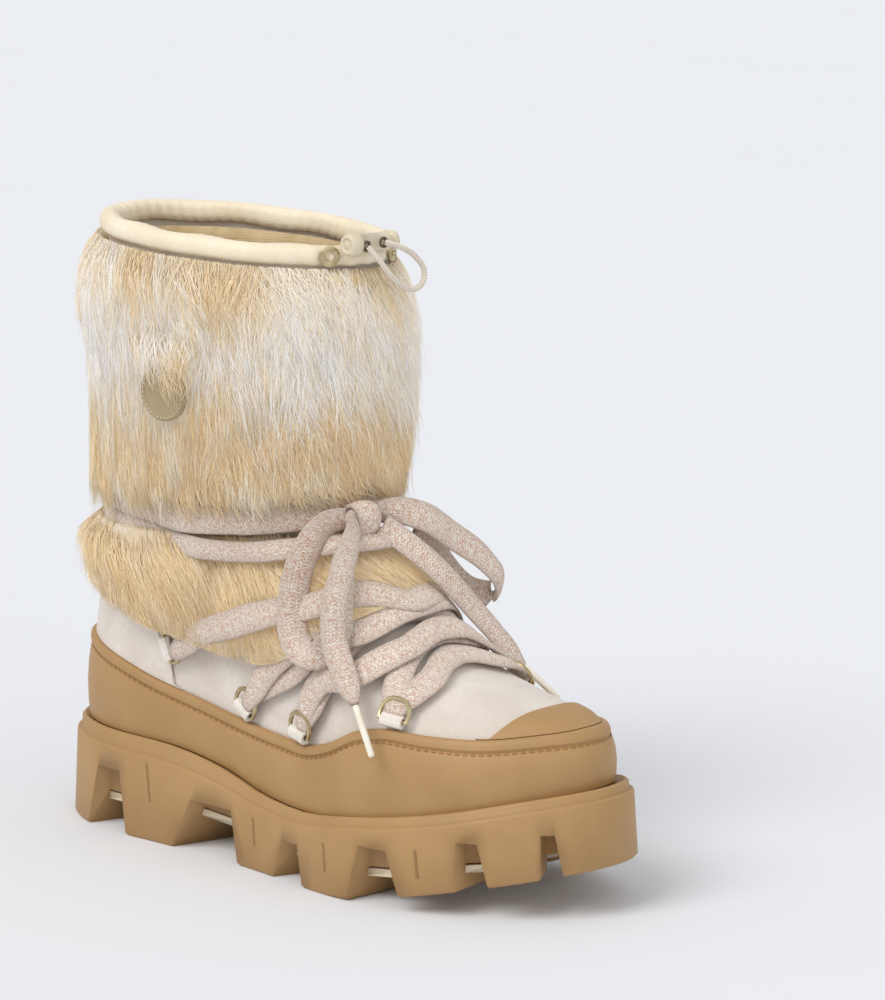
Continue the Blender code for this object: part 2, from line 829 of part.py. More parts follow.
def through(rows, count):
    """Evenly spaced points on a smooth curve through the rows of a table."""
    rows = np.asarray(rows, float)
    steps = np.linalg.norm(np.diff(rows, axis=0), axis=1)
    run = np.concatenate([[0], np.cumsum(steps)])
    at = np.linspace(0, run[-1], count)
    return np.stack([smooth(run, rows[:, k], at) for k in range(rows.shape[1])], axis=1)


def over_foot(rows, lift_off, mirror, count=14):
    """A lace over the foot: rows of (station, turn), a height above the leather."""
    weights = np.array([SOLE_LENGTH, FOOT_AXIS * math.pi / 180])
    path = through(np.asarray(rows) * weights, count) / weights
    points, outs = [], []
    for station, turn in path:
        point, out = on_foot(station, turn * mirror)
        points.append(point + out * lift_off)
        outs.append(out)
    return ribbon_loops(points, outs)


def make_lace_crossings():
    """The lace over the foot: a bar at the toe, and crossings of one strand over
    another. The strand that runs under is a row shorter at both ends."""
    prism("lace_bar", over_foot(LACE_BAR, LACE_LOW, 1, 13), knit, 50)
    for number, rows in enumerate(LACE_CROSSINGS, 1):
        prism(f"lace_over_{number}", over_foot(rows, LACE_HIGH, 1), knit, 50)
        prism(f"lace_under_{number}", over_foot(rows[1:-1], LACE_LOW, -1), knit, 50)


def make_ankle_wrap():
    middle_row = level(WRAP[0] * SHAFT_TOP, WRAP[1], WRAP[2] * SHAFT_TOP)
    loops = []
    for rise, grow in WRAP_SECTION:
        loops.append(ring(raised(middle_row, rise * LACE_WIDTH), ANKLE_ROOT + grow))
    return band("ankle_wrap", loops, knit, 50)


def spot_on_axis(point):
    """The direction from the leg's axis out to a point."""
    away = np.array([point[0] - SHAFT_CENTRE, point[1] - SHAFT_SIDE, 0.0])
    return away / np.linalg.norm(away)


def make_free_laces():
    """The knot, both loops of the bow and both ends with their aglets."""
    centre = np.array(KNOT)
    out = spot_on_axis(centre)
    across = np.cross((0.0, 0.0, 1.0), out)
    loops = []
    for share, size in ((-1.0, 0.62), (-0.7, 0.9), (0.0, 1.0), (0.7, 0.9), (1.0, 0.62)):
        loop = []
        for turn in np.arange(12) * math.pi / 6:
            spot = centre + across * share * KNOT_SIZE[0]
            spot = spot + np.array((0.0, 0.0, 1.0)) * math.cos(turn) * size * KNOT_SIZE[2]
            loop.append(spot + out * math.sin(turn) * size * KNOT_SIZE[1])
        loops.append(loop)
    prism("lace_knot", loops, knit, 60)
    for name, rows, count in (
        ("lace_loop_outer", LOOP_OUTER, 22),
        ("lace_loop_inner", LOOP_INNER, 22),
        ("lace_end_outer", END_OUTER, 14),
        ("lace_end_inner", END_INNER, 14),
    ):
        points = through(rows, count)
        prism(name, ribbon_loops(points, [spot_on_axis(point) for point in points]), knit, 50)
    for name, (start, end) in (("aglet_outer", AGLET_OUTER), ("aglet_inner", AGLET_INNER)):
        start, end = np.array(start), np.array(end)
        tip = end - start
        length = np.linalg.norm(tip)
        rows = ((0.0, 0.8), (0.0008, 1.0), (length - 0.0008, 0.95), (length, 0.7))
        loops = disc_loops(start, tip, [(a, r * AGLET_RADIUS) for a, r in rows], 10)
        prism(name, loops, plastic, 40)


def make_collar_fittings():
    edge = collar_height()
    for word, turn in (("outer", -EYELET_TURN), ("inner", EYELET_TURN)):
        at = ring(raised(edge, EYELET_DROP), 0.0, [turn])
        out = normals(at)[0]
        face = at[0] + out * (COLLAR_OUT + GAP)
        rows = ((0.0, 1.0), (0.0, 0.45), (0.0008, 0.45), (0.0011, 0.6), (0.0011, 0.85), (0.0006, 1.0))
        loops = disc_loops(face, out, [(a, r * EYELET_RADIUS) for a, r in rows], 16)
        band(f"eyelet_{word}", loops, brass, 40)
    rear = ring(raised(edge, EYELET_DROP), 0.0, [STUD_TURN])
    out = normals(rear)[0]
    rows = ((0.0, 1.0), (0.0010, 1.0), (0.0018, 0.6))
    loops = disc_loops(rear[0] + out * (COLLAR_OUT + GAP), out, [(a, r * STUD_RADIUS) for a, r in rows], 12)
    prism("rear_stud", loops, brass, 40)
    half = LOCK_LENGTH / 2
    rows = (
        (-half, 0.62), (-half, 0.9), (-half + 0.0004, 1.0), (-half + 0.0016, 1.0), (-half + 0.0018, 0.86),
        (half - 0.0062, 0.88), (half - 0.0060, 1.04), (half - 0.0038, 1.04), (half - 0.0036, 0.72),
        (half - 0.0030, 0.72), (half - 0.0028, 1.0), (half - 0.0004, 0.97), (half, 0.88),
    )
    loops = disc_loops(LOCK, (0.0, -1.0, 0.0), [(a, r * LOCK_RADIUS) for a, r in rows], 16)
    prism("cord_lock", loops, plastic, 30)
    tube("drawcord_loop", through(CORD_LOOP, 26), CORD_RADIUS, cord_cover)


def make_badge():
    station, height, side = BADGE
    start = (station * SOLE_LENGTH, SHAFT_SIDE, height * SHAFT_TOP)
    point, out = meet(start, (0.0, side, 0.0))
    rows = ((0.0, 0.97), (0.0004, 1.0), (0.0016, 1.0), (0.0022, 0.95), (0.0022, 0.84), (0.0019, 0.8))
    loops = disc_loops(point + out * BADGE_OUT, out, [(a, r * BADGE_RADIUS) for a, r in rows], 24)
    return prism("badge", loops, leather, 40)


# Fur. Depth tables: share of the way up the sleeve, then the depth at the back and
# at the front as shares of FUR_DEPTH.
SHAFT_DEPTH = ((0.0, 0.55, 1.08), (0.2, 0.52, 1.20), (0.45, 0.62, 1.14), (0.72, 0.98, 1.00), (1.0, 1.04, 0.80))
ANKLE_DEPTH = ((0.0, 0.50, 0.36), (0.4, 0.74, 0.42), (0.7, 0.76, 0.46), (1.0, 0.50, 0.40))
FUR_ROOT = 0.0011         # the fur's inner face over the leather
ANKLE_ROOT = 0.0020       # the same round the ankle, where the leather curves in
LOCK_DROP = 0.0026
LOCK_RELIEF = 0.07
# Tiers of locks: share of the way up, depth share, strength of the locks.
SHAFT_TIERS = (
    (1.00, 0.10, 0.0), (0.965, 0.62, 0.0), (0.90, 0.95, 0.3), (0.76, 1.02, 0.6), (0.60, 0.96, 1.0),
    (0.625, 0.78, 0.7), (0.50, 0.98, 0.6), (0.33, 0.94, 1.0), (0.355, 0.74, 0.7), (0.22, 0.96, 0.6),
    (0.06, 0.88, 1.0), (0.00, 0.55, 1.0), (0.02, 0.14, 0.3),
)
ANKLE_TIERS = (
    (1.00, 0.12, 0.0), (0.93, 0.80, 0.2), (0.68, 1.00, 0.5), (0.40, 0.92, 1.0), (0.44, 0.68, 0.6),
    (0.20, 0.78, 0.6), (0.03, 0.50, 1.0), (0.05, 0.12, 0.3),
)
FUR_INNER = (0.03, 0.28, 0.60, 0.98)
SHAFT_FUR = (0.580, 0.606, 0.983, 0.944)   # rear and front of the hem, then of the top
ANKLE_TOP = (0.508, 0.528)
FUR_HEM = (
    (0.06, 0.435), (0.14, 0.425), (0.22, 0.405), (0.31, 0.394), (0.42, 0.376), (0.50, 0.380),
    (0.56, 0.402), (0.62, 0.436), (0.70, 0.470),
)
COUNTER_END = 0.250

# Collar: rise over the shaft's edge and distance out from the leather, in metres.
COLLAR_OUT = 0.0036
COLLAR = (
    (0.0003, 0.0003), (-0.0056, 0.0003), (-0.0058, 0.0022), (-0.0040, 0.0034), (-0.0010, 0.0036),
    (0.0014, 0.0024), (0.0023, 0.0002), (0.0020, -0.0026), (-0.0005, -0.0046), (-0.0060, -0.0046),
    (-0.0062, -0.0025), (0.0003, -0.0025),
)
EYELET_TURN = 0.044
EYELET_DROP = -0.0018
EYELET_RADIUS = 0.0043
STUD_TURN = 0.505
STUD_RADIUS = 0.0028
LOCK = (0.1628, 0.0024, 0.2544)
LOCK_LENGTH = 0.0272
LOCK_RADIUS = 0.0044
CORD_RADIUS = 0.0012
CORD_LOOP = (
    (0.1677, -0.0040, 0.2537), (0.1706, -0.0008, 0.2484), (0.1725, 0.0044, 0.2417), (0.1735, 0.0109, 0.2367),
    (0.1740, 0.0164, 0.2354), (0.1742, 0.0212, 0.2377), (0.1740, 0.0224, 0.2422), (0.1730, 0.0184, 0.2482),
    (0.1708, 0.0114, 0.2527), (0.1678, 0.0060, 0.2546),
)
BADGE = (0.338, 0.752, -1.0)   # station, height as a share of SHAFT_TOP, side
BADGE_OUT = 0.0143
BADGE_RADIUS = 0.0115

# Rings for the lace: station and lean to the front; then for the outer side, and
# again for the inner side, the turn down from the top of the foot and the distance
# of the ring's bar from the leather.
RINGS = (
    (0.728, 0.0, 47.4, 0.0040, 46.0, 0.0040),
    (0.563, 14.0, 61.0, 0.0040, 56.0, 0.0027),
    (0.437, 30.0, 52.6, 0.0031, 50.0, 0.0040),
    (0.288, 74.0, 36.6, 0.0030, 40.0, 0.0026),
)
RING_WIDTH = 0.0063
RING_HEIGHT = 0.0086
RING_WIRE = 0.00095
RING_TILT = math.radians(8)
RING_SHAPE = (
    (-1.00, 0.0), (-1.03, 0.32), (-0.92, 0.68), (-0.58, 0.93), (0.0, 1.0), (0.58, 0.93),
    (0.92, 0.68), (1.03, 0.32), (1.00, 0.0), (0.34, 0.0), (-0.34, 0.0),
)
TAB_WIDTH = 0.0096
TAB_BORE = 0.00128
TAB_OUTER = 0.0023
TAB_TAIL = 0.0006
TAB_SHAPE = (
    (1.0, 0.0, 0.0), (0.7, 0.7, 0.0), (0.0, 1.0, 0.0), (-0.7, 0.8, 0.4), (-1.0, 0.5, 1.0),
    (-1.0, -0.6, 1.0), (-0.7, -0.8, 0.4), (0.0, -1.0, 0.0), (0.7, -0.7, 0.0),
)

# Laces: station and turn (degrees, minus to the outer side) along each strand.
LACE_WIDTH = 0.0098
LACE_THICKNESS = 0.0021
LACE_LOW = 0.0026
LACE_HIGH = 0.0058
LACE_SECTION = ((0.5, 0.0), (0.42, 0.5), (-0.42, 0.5), (-0.5, 0.0), (-0.42, -0.5), (0.42, -0.5))
LACE_BAR = (
    (0.730, -40.0), (0.742, -27.0), (0.724, -8.0), (0.720, 0.0), (0.724, 8.0), (0.742, 27.0), (0.730, 40.0),
)
LACE_CROSSINGS = (
    ((0.572, -51.0), (0.586, -46.0), (0.602, -42.0), (0.650, -39.0), (0.690, -21.0), (0.683, 0.0), (0.686, 12.0), (0.697, 24.0), (0.722, 38.0)),
    ((0.458, -43.0), (0.484, -39.5), (0.528, -33.0), (0.592, -28.0), (0.638, -22.0), (0.646, 0.0), (0.630, 20.0), (0.604, 39.0), (0.593, 45.0)),
)
WRAP = (0.535, 0.55, 0.555)
WRAP_SECTION = ((-0.50, 0.0012), (-0.42, 0.0032), (0.42, 0.0032), (0.50, 0.0012), (0.42, -0.0009), (-0.42, -0.0009))
KNOT = (0.1642, -0.0047, 0.1433)
KNOT_SIZE = (0.0056, 0.0040, 0.0062)
LOOP_OUTER = (
    (0.1616, -0.0110, 0.1442), (0.1590, -0.0190, 0.1430), (0.1582, -0.0300, 0.1346), (0.1564, -0.0355, 0.1193),
    (0.1577, -0.0388, 0.1061), (0.1650, -0.0420, 0.0963), (0.1755, -0.0428, 0.0951), (0.1812, -0.0395, 0.1013),
    (0.1782, -0.0326, 0.1162), (0.1726, -0.0240, 0.1302), (0.1682, -0.0146, 0.1352),
)
LOOP_INNER = (
    (0.1630, 0.0030, 0.1446), (0.1690, 0.0100, 0.1456), (0.1760, 0.0190, 0.1428), (0.1800, 0.0326, 0.1335),
    (0.1857, 0.0464, 0.1222), (0.1880, 0.0530, 0.1130), (0.1850, 0.0550, 0.1070), (0.1775, 0.0500, 0.1080),
    (0.1710, 0.0400, 0.1190), (0.1716, 0.0318, 0.1296), (0.1708, 0.0196, 0.1350),
)
END_OUTER = (
    (0.1672, -0.0110, 0.1425), (0.1736, -0.0200, 0.1388), (0.1800, -0.0325, 0.1293), (0.1828, -0.0404, 0.1172),
    (0.1842, -0.0426, 0.1034), (0.1912, -0.0442, 0.0899), (0.1992, -0.0466, 0.0792),
)
END_INNER = (
    (0.1692, 0.0022, 0.1405), (0.1752, 0.0062, 0.1355), (0.1865, 0.0150, 0.1238), (0.1950, 0.0306, 0.1042),
    (0.2064, 0.0466, 0.0809),
)
AGLET_RADIUS = 0.0014
AGLET_OUTER = ((0.1995, -0.0467, 0.0788), (0.2113, -0.0499, 0.0606))
AGLET_INNER = ((0.2067, 0.0469, 0.0805), (0.2174, 0.0562, 0.0668))


def build():
    make_outsole()
    make_tread_plate()
    make_upper()
    make_insole()
    make_rand()
    make_toe_cap()
    make_heel_counter()
    hem = level(SHAFT_FUR[0] * SHAFT_TOP, 0.55, SHAFT_FUR[1] * SHAFT_TOP)
    crown = level(SHAFT_FUR[2] * SHAFT_TOP, 0.55, SHAFT_FUR[3] * SHAFT_TOP)
    make_fur("fur_shaft", hem, crown, SHAFT_TIERS, SHAFT_DEPTH, FUR_ROOT)
    top = level(ANKLE_TOP[0] * SHAFT_TOP, 0.55, ANKLE_TOP[1] * SHAFT_TOP)
    make_fur("fur_ankle", fur_hem, top, ANKLE_TIERS, ANKLE_DEPTH, ANKLE_ROOT)
    make_collar()
    make_collar_fittings()
    make_badge()
    make_rings()
    make_lace_crossings()
    make_ankle_wrap()
    make_free_laces()


def stand_on_origin():
    """Moves the empty so that the origin is under the middle of the boot's box."""
    bpy.context.view_layer.update()
    free = ("lace_", "aglet_", "drawcord_")
    corners = []
    for item in parts.objects:
        if item.type != "EMPTY" and not item.name.startswith(free):
            corners += [item.matrix_world @ mathutils.Vector(corner) for corner in item.bound_box]
    corners = np.array(corners)
    low, high = corners.min(axis=0), corners.max(axis=0)
    root.location = (-(low[0] + high[0]) / 2, -(low[1] + high[1]) / 2, -low[2])
    bpy.context.view_layer.update()


clear_scene()
parts = bpy.data.collections.new(MODEL)
cutters = bpy.data.collections.new(MODEL + "_cutters")
bpy.context.scene.collection.children.link(parts)
bpy.context.scene.collection.children.link(cutters)
root = bpy.data.objects.new(MODEL + "_origin", None)
parts.objects.link(root)

rubber = material("honey rubber", (0.42, 0.24, 0.08), 0.45)
tread_rubber = material("cream rubber", (0.75, 0.66, 0.46), 0.5)
suede = material("off-white suede", (0.76, 0.69, 0.62), 0.9)
lining = material("cream lining", (0.72, 0.60, 0.42), 0.8)
leather = material("cream leather", (0.82, 0.73, 0.55), 0.45)
fur = material("blond fur", (0.72, 0.55, 0.33), 0.8)
knit = material("pink marl knit", (0.75, 0.56, 0.48), 0.95)
brass = material("pale gold metal", (0.55, 0.46, 0.30), 0.35, 1.0)
plastic = material("cream plastic", (0.78, 0.71, 0.58), 0.4)
cord_cover = material("off-white cord", (0.82, 0.76, 0.68), 0.8)

build()
stand_on_origin()
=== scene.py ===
"""The looks of a fur-trimmed apres ski boot, right foot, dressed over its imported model."""

import math

import bmesh
import bpy
import numpy as np
from mathutils import Matrix, Vector


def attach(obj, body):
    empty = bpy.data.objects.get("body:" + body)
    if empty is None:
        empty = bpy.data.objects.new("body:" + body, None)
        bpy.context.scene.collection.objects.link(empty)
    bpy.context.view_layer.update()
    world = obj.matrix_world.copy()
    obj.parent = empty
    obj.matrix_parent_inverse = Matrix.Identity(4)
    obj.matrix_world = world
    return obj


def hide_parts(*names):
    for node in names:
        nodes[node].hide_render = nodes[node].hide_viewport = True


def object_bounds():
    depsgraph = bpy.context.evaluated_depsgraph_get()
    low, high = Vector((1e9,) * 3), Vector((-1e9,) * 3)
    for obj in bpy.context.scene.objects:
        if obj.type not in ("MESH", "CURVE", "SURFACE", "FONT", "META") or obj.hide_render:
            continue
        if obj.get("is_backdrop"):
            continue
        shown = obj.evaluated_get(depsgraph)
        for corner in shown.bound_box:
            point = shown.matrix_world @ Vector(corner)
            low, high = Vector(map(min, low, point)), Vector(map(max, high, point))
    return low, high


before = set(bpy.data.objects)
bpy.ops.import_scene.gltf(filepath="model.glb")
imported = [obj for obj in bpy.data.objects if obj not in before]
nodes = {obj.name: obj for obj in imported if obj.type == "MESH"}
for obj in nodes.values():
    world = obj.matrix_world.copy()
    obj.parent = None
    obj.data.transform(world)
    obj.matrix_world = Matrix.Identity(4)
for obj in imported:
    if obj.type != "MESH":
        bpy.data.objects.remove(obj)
cad_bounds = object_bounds()

# The shapes below are written from the back of the sole; the model's own frame
# has its origin under the middle of the boot.
SHIFT = np.array([-0.145, -0.0062207, 0.0])

SOLE_LENGTH = 0.290
BALL_WIDTH = 0.105
HEEL_BLOCK = 0.039        # floor to the side ledge, at the heel
PLATFORM_DROP = 0.0010    # the upper stands this far below the rim
WELT_MARGIN = 0.0076      # from the sole's outline in to the rand
TOE_MARGIN = 0.0098       # the same at the tip of the toe
WALL = 0.0022
RAND_THICKNESS = 0.0025
BEAD_HEIGHT = 0.0042
TOE_BOX_HEIGHT = 0.078    # floor to the crown of the toe box
SHAFT_TOP = 0.2585        # floor to the edge of the shaft's leather
SHAFT_LENGTH = 0.134      # front to back at the collar
SHAFT_WIDTH = 0.092
SHAFT_CENTRE = 0.0895     # from the back of the sole
SHAFT_SIDE = 0.0070       # the leg stands this far to the inner side
FUR_DEPTH = 0.0125
GAP = 0.0003


def smooth(xs, ys, x):
    """A smooth curve through the rows of a table, read at x."""
    xs, ys = np.asarray(xs, float), np.asarray(ys, float)
    slope = np.gradient(ys, xs)
    x = np.clip(np.asarray(x, float), xs[0], xs[-1])
    i = np.clip(np.searchsorted(xs, x) - 1, 0, len(xs) - 2)
    step = xs[i + 1] - xs[i]
    t = (x - xs[i]) / step
    return (
        ys[i] * (1 + 2 * t) * (1 - t) ** 2
        + ys[i + 1] * t * t * (3 - 2 * t)
        + slope[i] * step * t * (1 - t) ** 2
        - slope[i + 1] * step * t * t * (1 - t)
    )


def column(table, index):
    return [row[index] for row in table]


OUTLINE = (
    (0.00, 0.335, 0.315),
    (0.14, 0.350, 0.325),
    (0.32, 0.360, 0.318),
    (0.42, 0.378, 0.342),
    (0.52, 0.420, 0.410),
    (0.62, 0.470, 0.476),
    (0.72, 0.490, 0.510),
    (1.00, 0.490, 0.510),
)
HEEL_ROUND = 0.190        # share of the length over which the heel closes
TOE_ROUND = 0.300
TOE_SWING = 0.062         # the toe lies this share of BALL_WIDTH to the inner side
SIDE = (
    (0.00, 0.970, 1.110, 0.385),
    (0.18, 0.935, 1.095, 0.385),
    (0.30, 0.895, 1.060, 0.455),
    (0.38, 0.820, 0.970, 0.430),
    (0.48, 0.675, 0.795, 0.350),
    (0.57, 0.650, 0.755, 0.320),
    (0.68, 0.755, 0.855, 0.335),
    (0.82, 0.925, 1.030, 0.490),
    (0.93, 1.115, 1.220, 0.620),
    (1.00, 1.215, 1.325, 0.700),
)


def closing(x, inset, toe_inset):
    """How far the outline has closed at the heel and the toe: 1 between them."""
    heel = HEEL_ROUND * SOLE_LENGTH
    toe = TOE_ROUND * SOLE_LENGTH
    back = np.clip((heel - x) / (heel - inset), 0, 1)
    front = np.clip((x - (SOLE_LENGTH - toe)) / (toe - toe_inset), 0, 1)
    return np.sqrt(1 - back**2) * np.sqrt(1 - front**2)


def middle(x):
    """Y of the outline's middle line."""
    start = (1 - TOE_ROUND) * SOLE_LENGTH
    t = np.clip((x - start) / (SOLE_LENGTH - start), 0, 1)
    return TOE_SWING * BALL_WIDTH * t


def half_width(x, inner, inset, toe_inset):
    """Distance from the middle line to the edge, on the inner or outer side."""
    share = np.where(
        inner,
        smooth(column(OUTLINE, 0), column(OUTLINE, 2), x / SOLE_LENGTH),
        smooth(column(OUTLINE, 0), column(OUTLINE, 1), x / SOLE_LENGTH),
    )
    return (share * BALL_WIDTH - inset) * closing(x, inset, toe_inset)


def rim(x):
    return HEEL_BLOCK * smooth(column(SIDE, 0), column(SIDE, 2), x / SOLE_LENGTH)


def platform(x):
    """Top of the sole inside its rim, which carries the upper."""
    return rim(x) - PLATFORM_DROP


FOOT = (
    (0.00, 1.50, 2.6),
    (0.20, 1.60, 2.6),
    (0.38, 1.75, 2.6),
    (0.50, 1.74, 2.5),
    (0.57, 1.60, 2.5),
    (0.64, 1.38, 2.6),
    (0.72, 1.165, 2.8),
    (0.79, 1.055, 3.0),
    (0.87, 0.990, 3.2),
    (0.94, 0.970, 3.2),
    (1.00, 0.950, 3.2),
)
HEEL_BLUNT = 2.1
HEEL_DROP = 0.14          # share of the length over which the heel's back rises
TOE_BLUNT = 5.4
TOE_DROP = 0.14           # share of the length over which the toe's front falls
LEG = (
    (0.00, 0.80, 0.70, 0.34),
    (0.25, 0.83, 0.87, 0.56),
    (0.40, 0.875, 0.91, 0.76),
    (0.52, 0.91, 0.94, 0.85),
    (0.66, 0.95, 0.97, 0.93),
    (0.82, 0.99, 0.99, 0.98),
    (1.00, 1.00, 1.00, 1.00),
)
BLEND = 0.006             # how widely the foot runs into the leg
FOOT_SCALE = 0.045        # the foot's and the leg's fields, brought to metres
LEG_SCALE = 0.055
FOOT_AXIS = 0.045         # height of the line that turns round the foot start from


def last(x, y, z):
    """Field of the last, in metres: below zero inside, zero on the leather."""
    inset = WELT_MARGIN + RAND_THICKNESS + GAP
    toe_inset = TOE_MARGIN + RAND_THICKNESS + GAP
    share = x / SOLE_LENGTH
    inner = y > middle(x)
    width = np.maximum(half_width(x, inner, inset, toe_inset), 1e-5)
    ridge = TOE_BOX_HEIGHT * smooth(column(FOOT, 0), column(FOOT, 1), share)
    power = smooth(column(FOOT, 0), column(FOOT, 2), share)
    tip = SOLE_LENGTH - toe_inset
    drop = TOE_DROP * SOLE_LENGTH
    fall = np.clip((x - (tip - drop)) / drop, 0, 1)
    base = platform(x)
    back = np.clip(1 - (x - inset) / (HEEL_DROP * SOLE_LENGTH), 0, 1)
    closed = (1 - fall**TOE_BLUNT) ** (1 / TOE_BLUNT)
    closed = closed * (1 - back**HEEL_BLUNT) ** (1 / HEEL_BLUNT)
    height = np.maximum((ridge - base) * closed, 1e-5)
    across = np.abs(y - middle(x)) / width
    above = np.maximum(z - base, 0) / height
    foot = ((across**power + above**power) ** (1 / power) - 1) * FOOT_SCALE
    level = z / SHAFT_TOP
    centre = SHAFT_CENTRE * smooth(column(LEG, 0), column(LEG, 1), level)
    length = SHAFT_LENGTH / 2 * smooth(column(LEG, 0), column(LEG, 2), level)
    wide = SHAFT_WIDTH / 2 * smooth(column(LEG, 0), column(LEG, 3), level)
    lean = SHAFT_SIDE * np.clip((level - 0.15) / 0.4, 0, 1)
    round_ = np.sqrt(((x - centre) / length) ** 2 + ((y - lean) / wide) ** 2)
    leg = (round_ - 1) * LEG_SCALE
    low = np.minimum(foot, leg)
    high = np.maximum(foot, leg)
    return low - BLEND * np.log1p(np.exp(-(high - low) / BLEND))


def normals(points):
    """Outward normals of the last at points near its surface."""
    step = 1e-5
    x, y, z = points.T
    slope = np.stack(
        [
            last(x + step, y, z) - last(x - step, y, z),
            last(x, y + step, z) - last(x, y - step, z),
            last(x, y, z + step) - last(x, y, z - step),
        ],
        axis=1,
    )
    return slope / np.linalg.norm(slope, axis=1, keepdims=True)


def reach(start, towards, height):
    """Walk from start along each direction, at the height given for each X,
    until the surface of the last is met."""
    near = np.zeros(len(towards))
    far = np.full(len(towards), SOLE_LENGTH)
    for _ in range(40):
        mid = (near + far) / 2
        x = start[0] + towards[:, 0] * mid
        y = start[1] + towards[:, 1] * mid
        outside = last(x, y, height(x)) > 0
        far = np.where(outside, mid, far)
        near = np.where(outside, near, mid)
    x = start[0] + towards[:, 0] * near
    y = start[1] + towards[:, 1] * near
    return np.stack([x, y, height(x)], axis=1)


def ring(height, grow, turns, flat=False):
    """Points round the last at height(x), pushed out from it by grow. A turn of
    0 looks to the toe, a quarter to the inner side and a half to the heel. A flat
    ring is pushed out level, so that it stays on its height."""
    ends = reach((SHAFT_CENTRE, 0.0), np.array([(1.0, 0.0), (-1.0, 0.0)]), height)
    centre = ends[:, 0].mean()
    stretch = math.sqrt((ends[0, 0] - ends[1, 0]) / SHAFT_WIDTH)
    angle = 2 * math.pi * np.asarray(turns)
    towards = np.stack([stretch * np.cos(angle), np.sin(angle)], axis=1)
    towards /= np.linalg.norm(towards, axis=1, keepdims=True)
    points = reach((centre, SHAFT_SIDE * 0.6), towards, height)
    away = normals(points)
    if flat:
        away[:, 2] = 0
        away /= np.linalg.norm(away, axis=1, keepdims=True)
        points = points + away * grow
        points[:, 2] = height(points[:, 0])
        return points
    return points + away * grow


def meet(start, towards):
    """The point where a walk from inside the last leaves it, with its normal."""
    start, towards = np.asarray(start, float), np.asarray(towards, float)
    near, far = 0.0, SOLE_LENGTH
    for _ in range(40):
        mid = (near + far) / 2
        x, y, z = start + towards * mid
        if last(x, y, z) > 0:
            far = mid
        else:
            near = mid
    point = start + towards * near
    return point, normals(point[None, :])[0]


def on_foot(station, turn):
    """A point of the foot at a station, turned from straight up (0) towards the
    outer side (minus) or the inner side (plus), with its normal."""
    angle = math.radians(turn)
    return meet((station * SOLE_LENGTH, 0.0, FOOT_AXIS), (0.0, math.sin(angle), math.cos(angle)))


def level(rear, front_station, front):
    """A height that runs straight from the heel to a station of the sole."""
    def height(x):
        return rear + (front - rear) * x / (front_station * SOLE_LENGTH)
    return height


def between(low, high, share):
    def height(x):
        return low(x) * (1 - share) + high(x) * share
    return height


def raised(height, rise):
    def lifted(x):
        return height(x) + rise
    return lifted


RAND_TOP = (
    (0.00, 1.060),
    (0.06, 1.030),
    (0.11, 0.985),
    (0.17, 0.935),
    (0.23, 0.878),
    (0.32, 0.815),
    (0.42, 0.750),
    (0.52, 0.718),
    (0.57, 0.715),
    (0.62, 0.765),
    (0.665, 0.845),
    (0.71, 0.880),
    (0.78, 0.872),
    (0.86, 0.875),
    (0.93, 0.910),
    (1.00, 0.940),
)
CAP_STATION = 0.888       # back edge of the toe cap, where it meets the rand
CAP_LEAN = 2.6            # the edge climbs this much faster than it runs forward
CAP_RISE = 0.0024         # height of the strip that carries the edge on round the foot


def rand_top(x):
    return TOE_BOX_HEIGHT * smooth(column(RAND_TOP, 0), column(RAND_TOP, 1), x / SOLE_LENGTH)


def cap_edge(x):
    """Height just over the rand, which climbs steeply at the toe cap's edge."""
    ahead = np.maximum(x - CAP_STATION * SOLE_LENGTH, 0)
    return rand_top(x) + CAP_RISE + CAP_LEAN * ahead


LEVELS = (
    (0.385, 0.82, 0.309),
    (0.402, 0.745, 0.338),
    (0.420, 0.680, 0.378),
    (0.442, 0.625, 0.425),
    (0.480, 0.585, 0.482),
    (0.508, 0.571, 0.512),
    (0.535, 0.560, 0.540),
    (0.572, 0.554, 0.572),
    (0.610, 0.550, 0.605),
    (0.740, 0.550, 0.720),
    (0.880, 0.550, 0.850),
    (1.010, 0.550, 0.970),
)


def fur_depth(turns, share, table):
    front = (1 + np.cos(2 * math.pi * turns)) / 2
    rear_depth = smooth(column(table, 0), column(table, 1), share)
    front_depth = smooth(column(table, 0), column(table, 2), share)
    return FUR_DEPTH * (rear_depth + (front_depth - rear_depth) * front)


def fur_hem(x):
    """Lower edge of the fur that covers the ankle."""
    return SHAFT_TOP * smooth(column(FUR_HEM, 0), column(FUR_HEM, 1), x / SOLE_LENGTH)


def collar_height():
    rear, station, front = LEVELS[-1]
    return level(rear * SHAFT_TOP, station, front * SHAFT_TOP)


def through(rows, count):
    """Evenly spaced points on a smooth curve through the rows of a table."""
    rows = np.asarray(rows, float)
    steps = np.linalg.norm(np.diff(rows, axis=0), axis=1)
    run = np.concatenate([[0], np.cumsum(steps)])
    at = np.linspace(0, run[-1], count)
    return np.stack([smooth(run, rows[:, k], at) for k in range(rows.shape[1])], axis=1)


def spot_on_axis(point):
    """The direction from the leg's axis out to a point."""
    away = np.array([point[0] - SHAFT_CENTRE, point[1] - SHAFT_SIDE, 0.0])
    return away / np.linalg.norm(away)


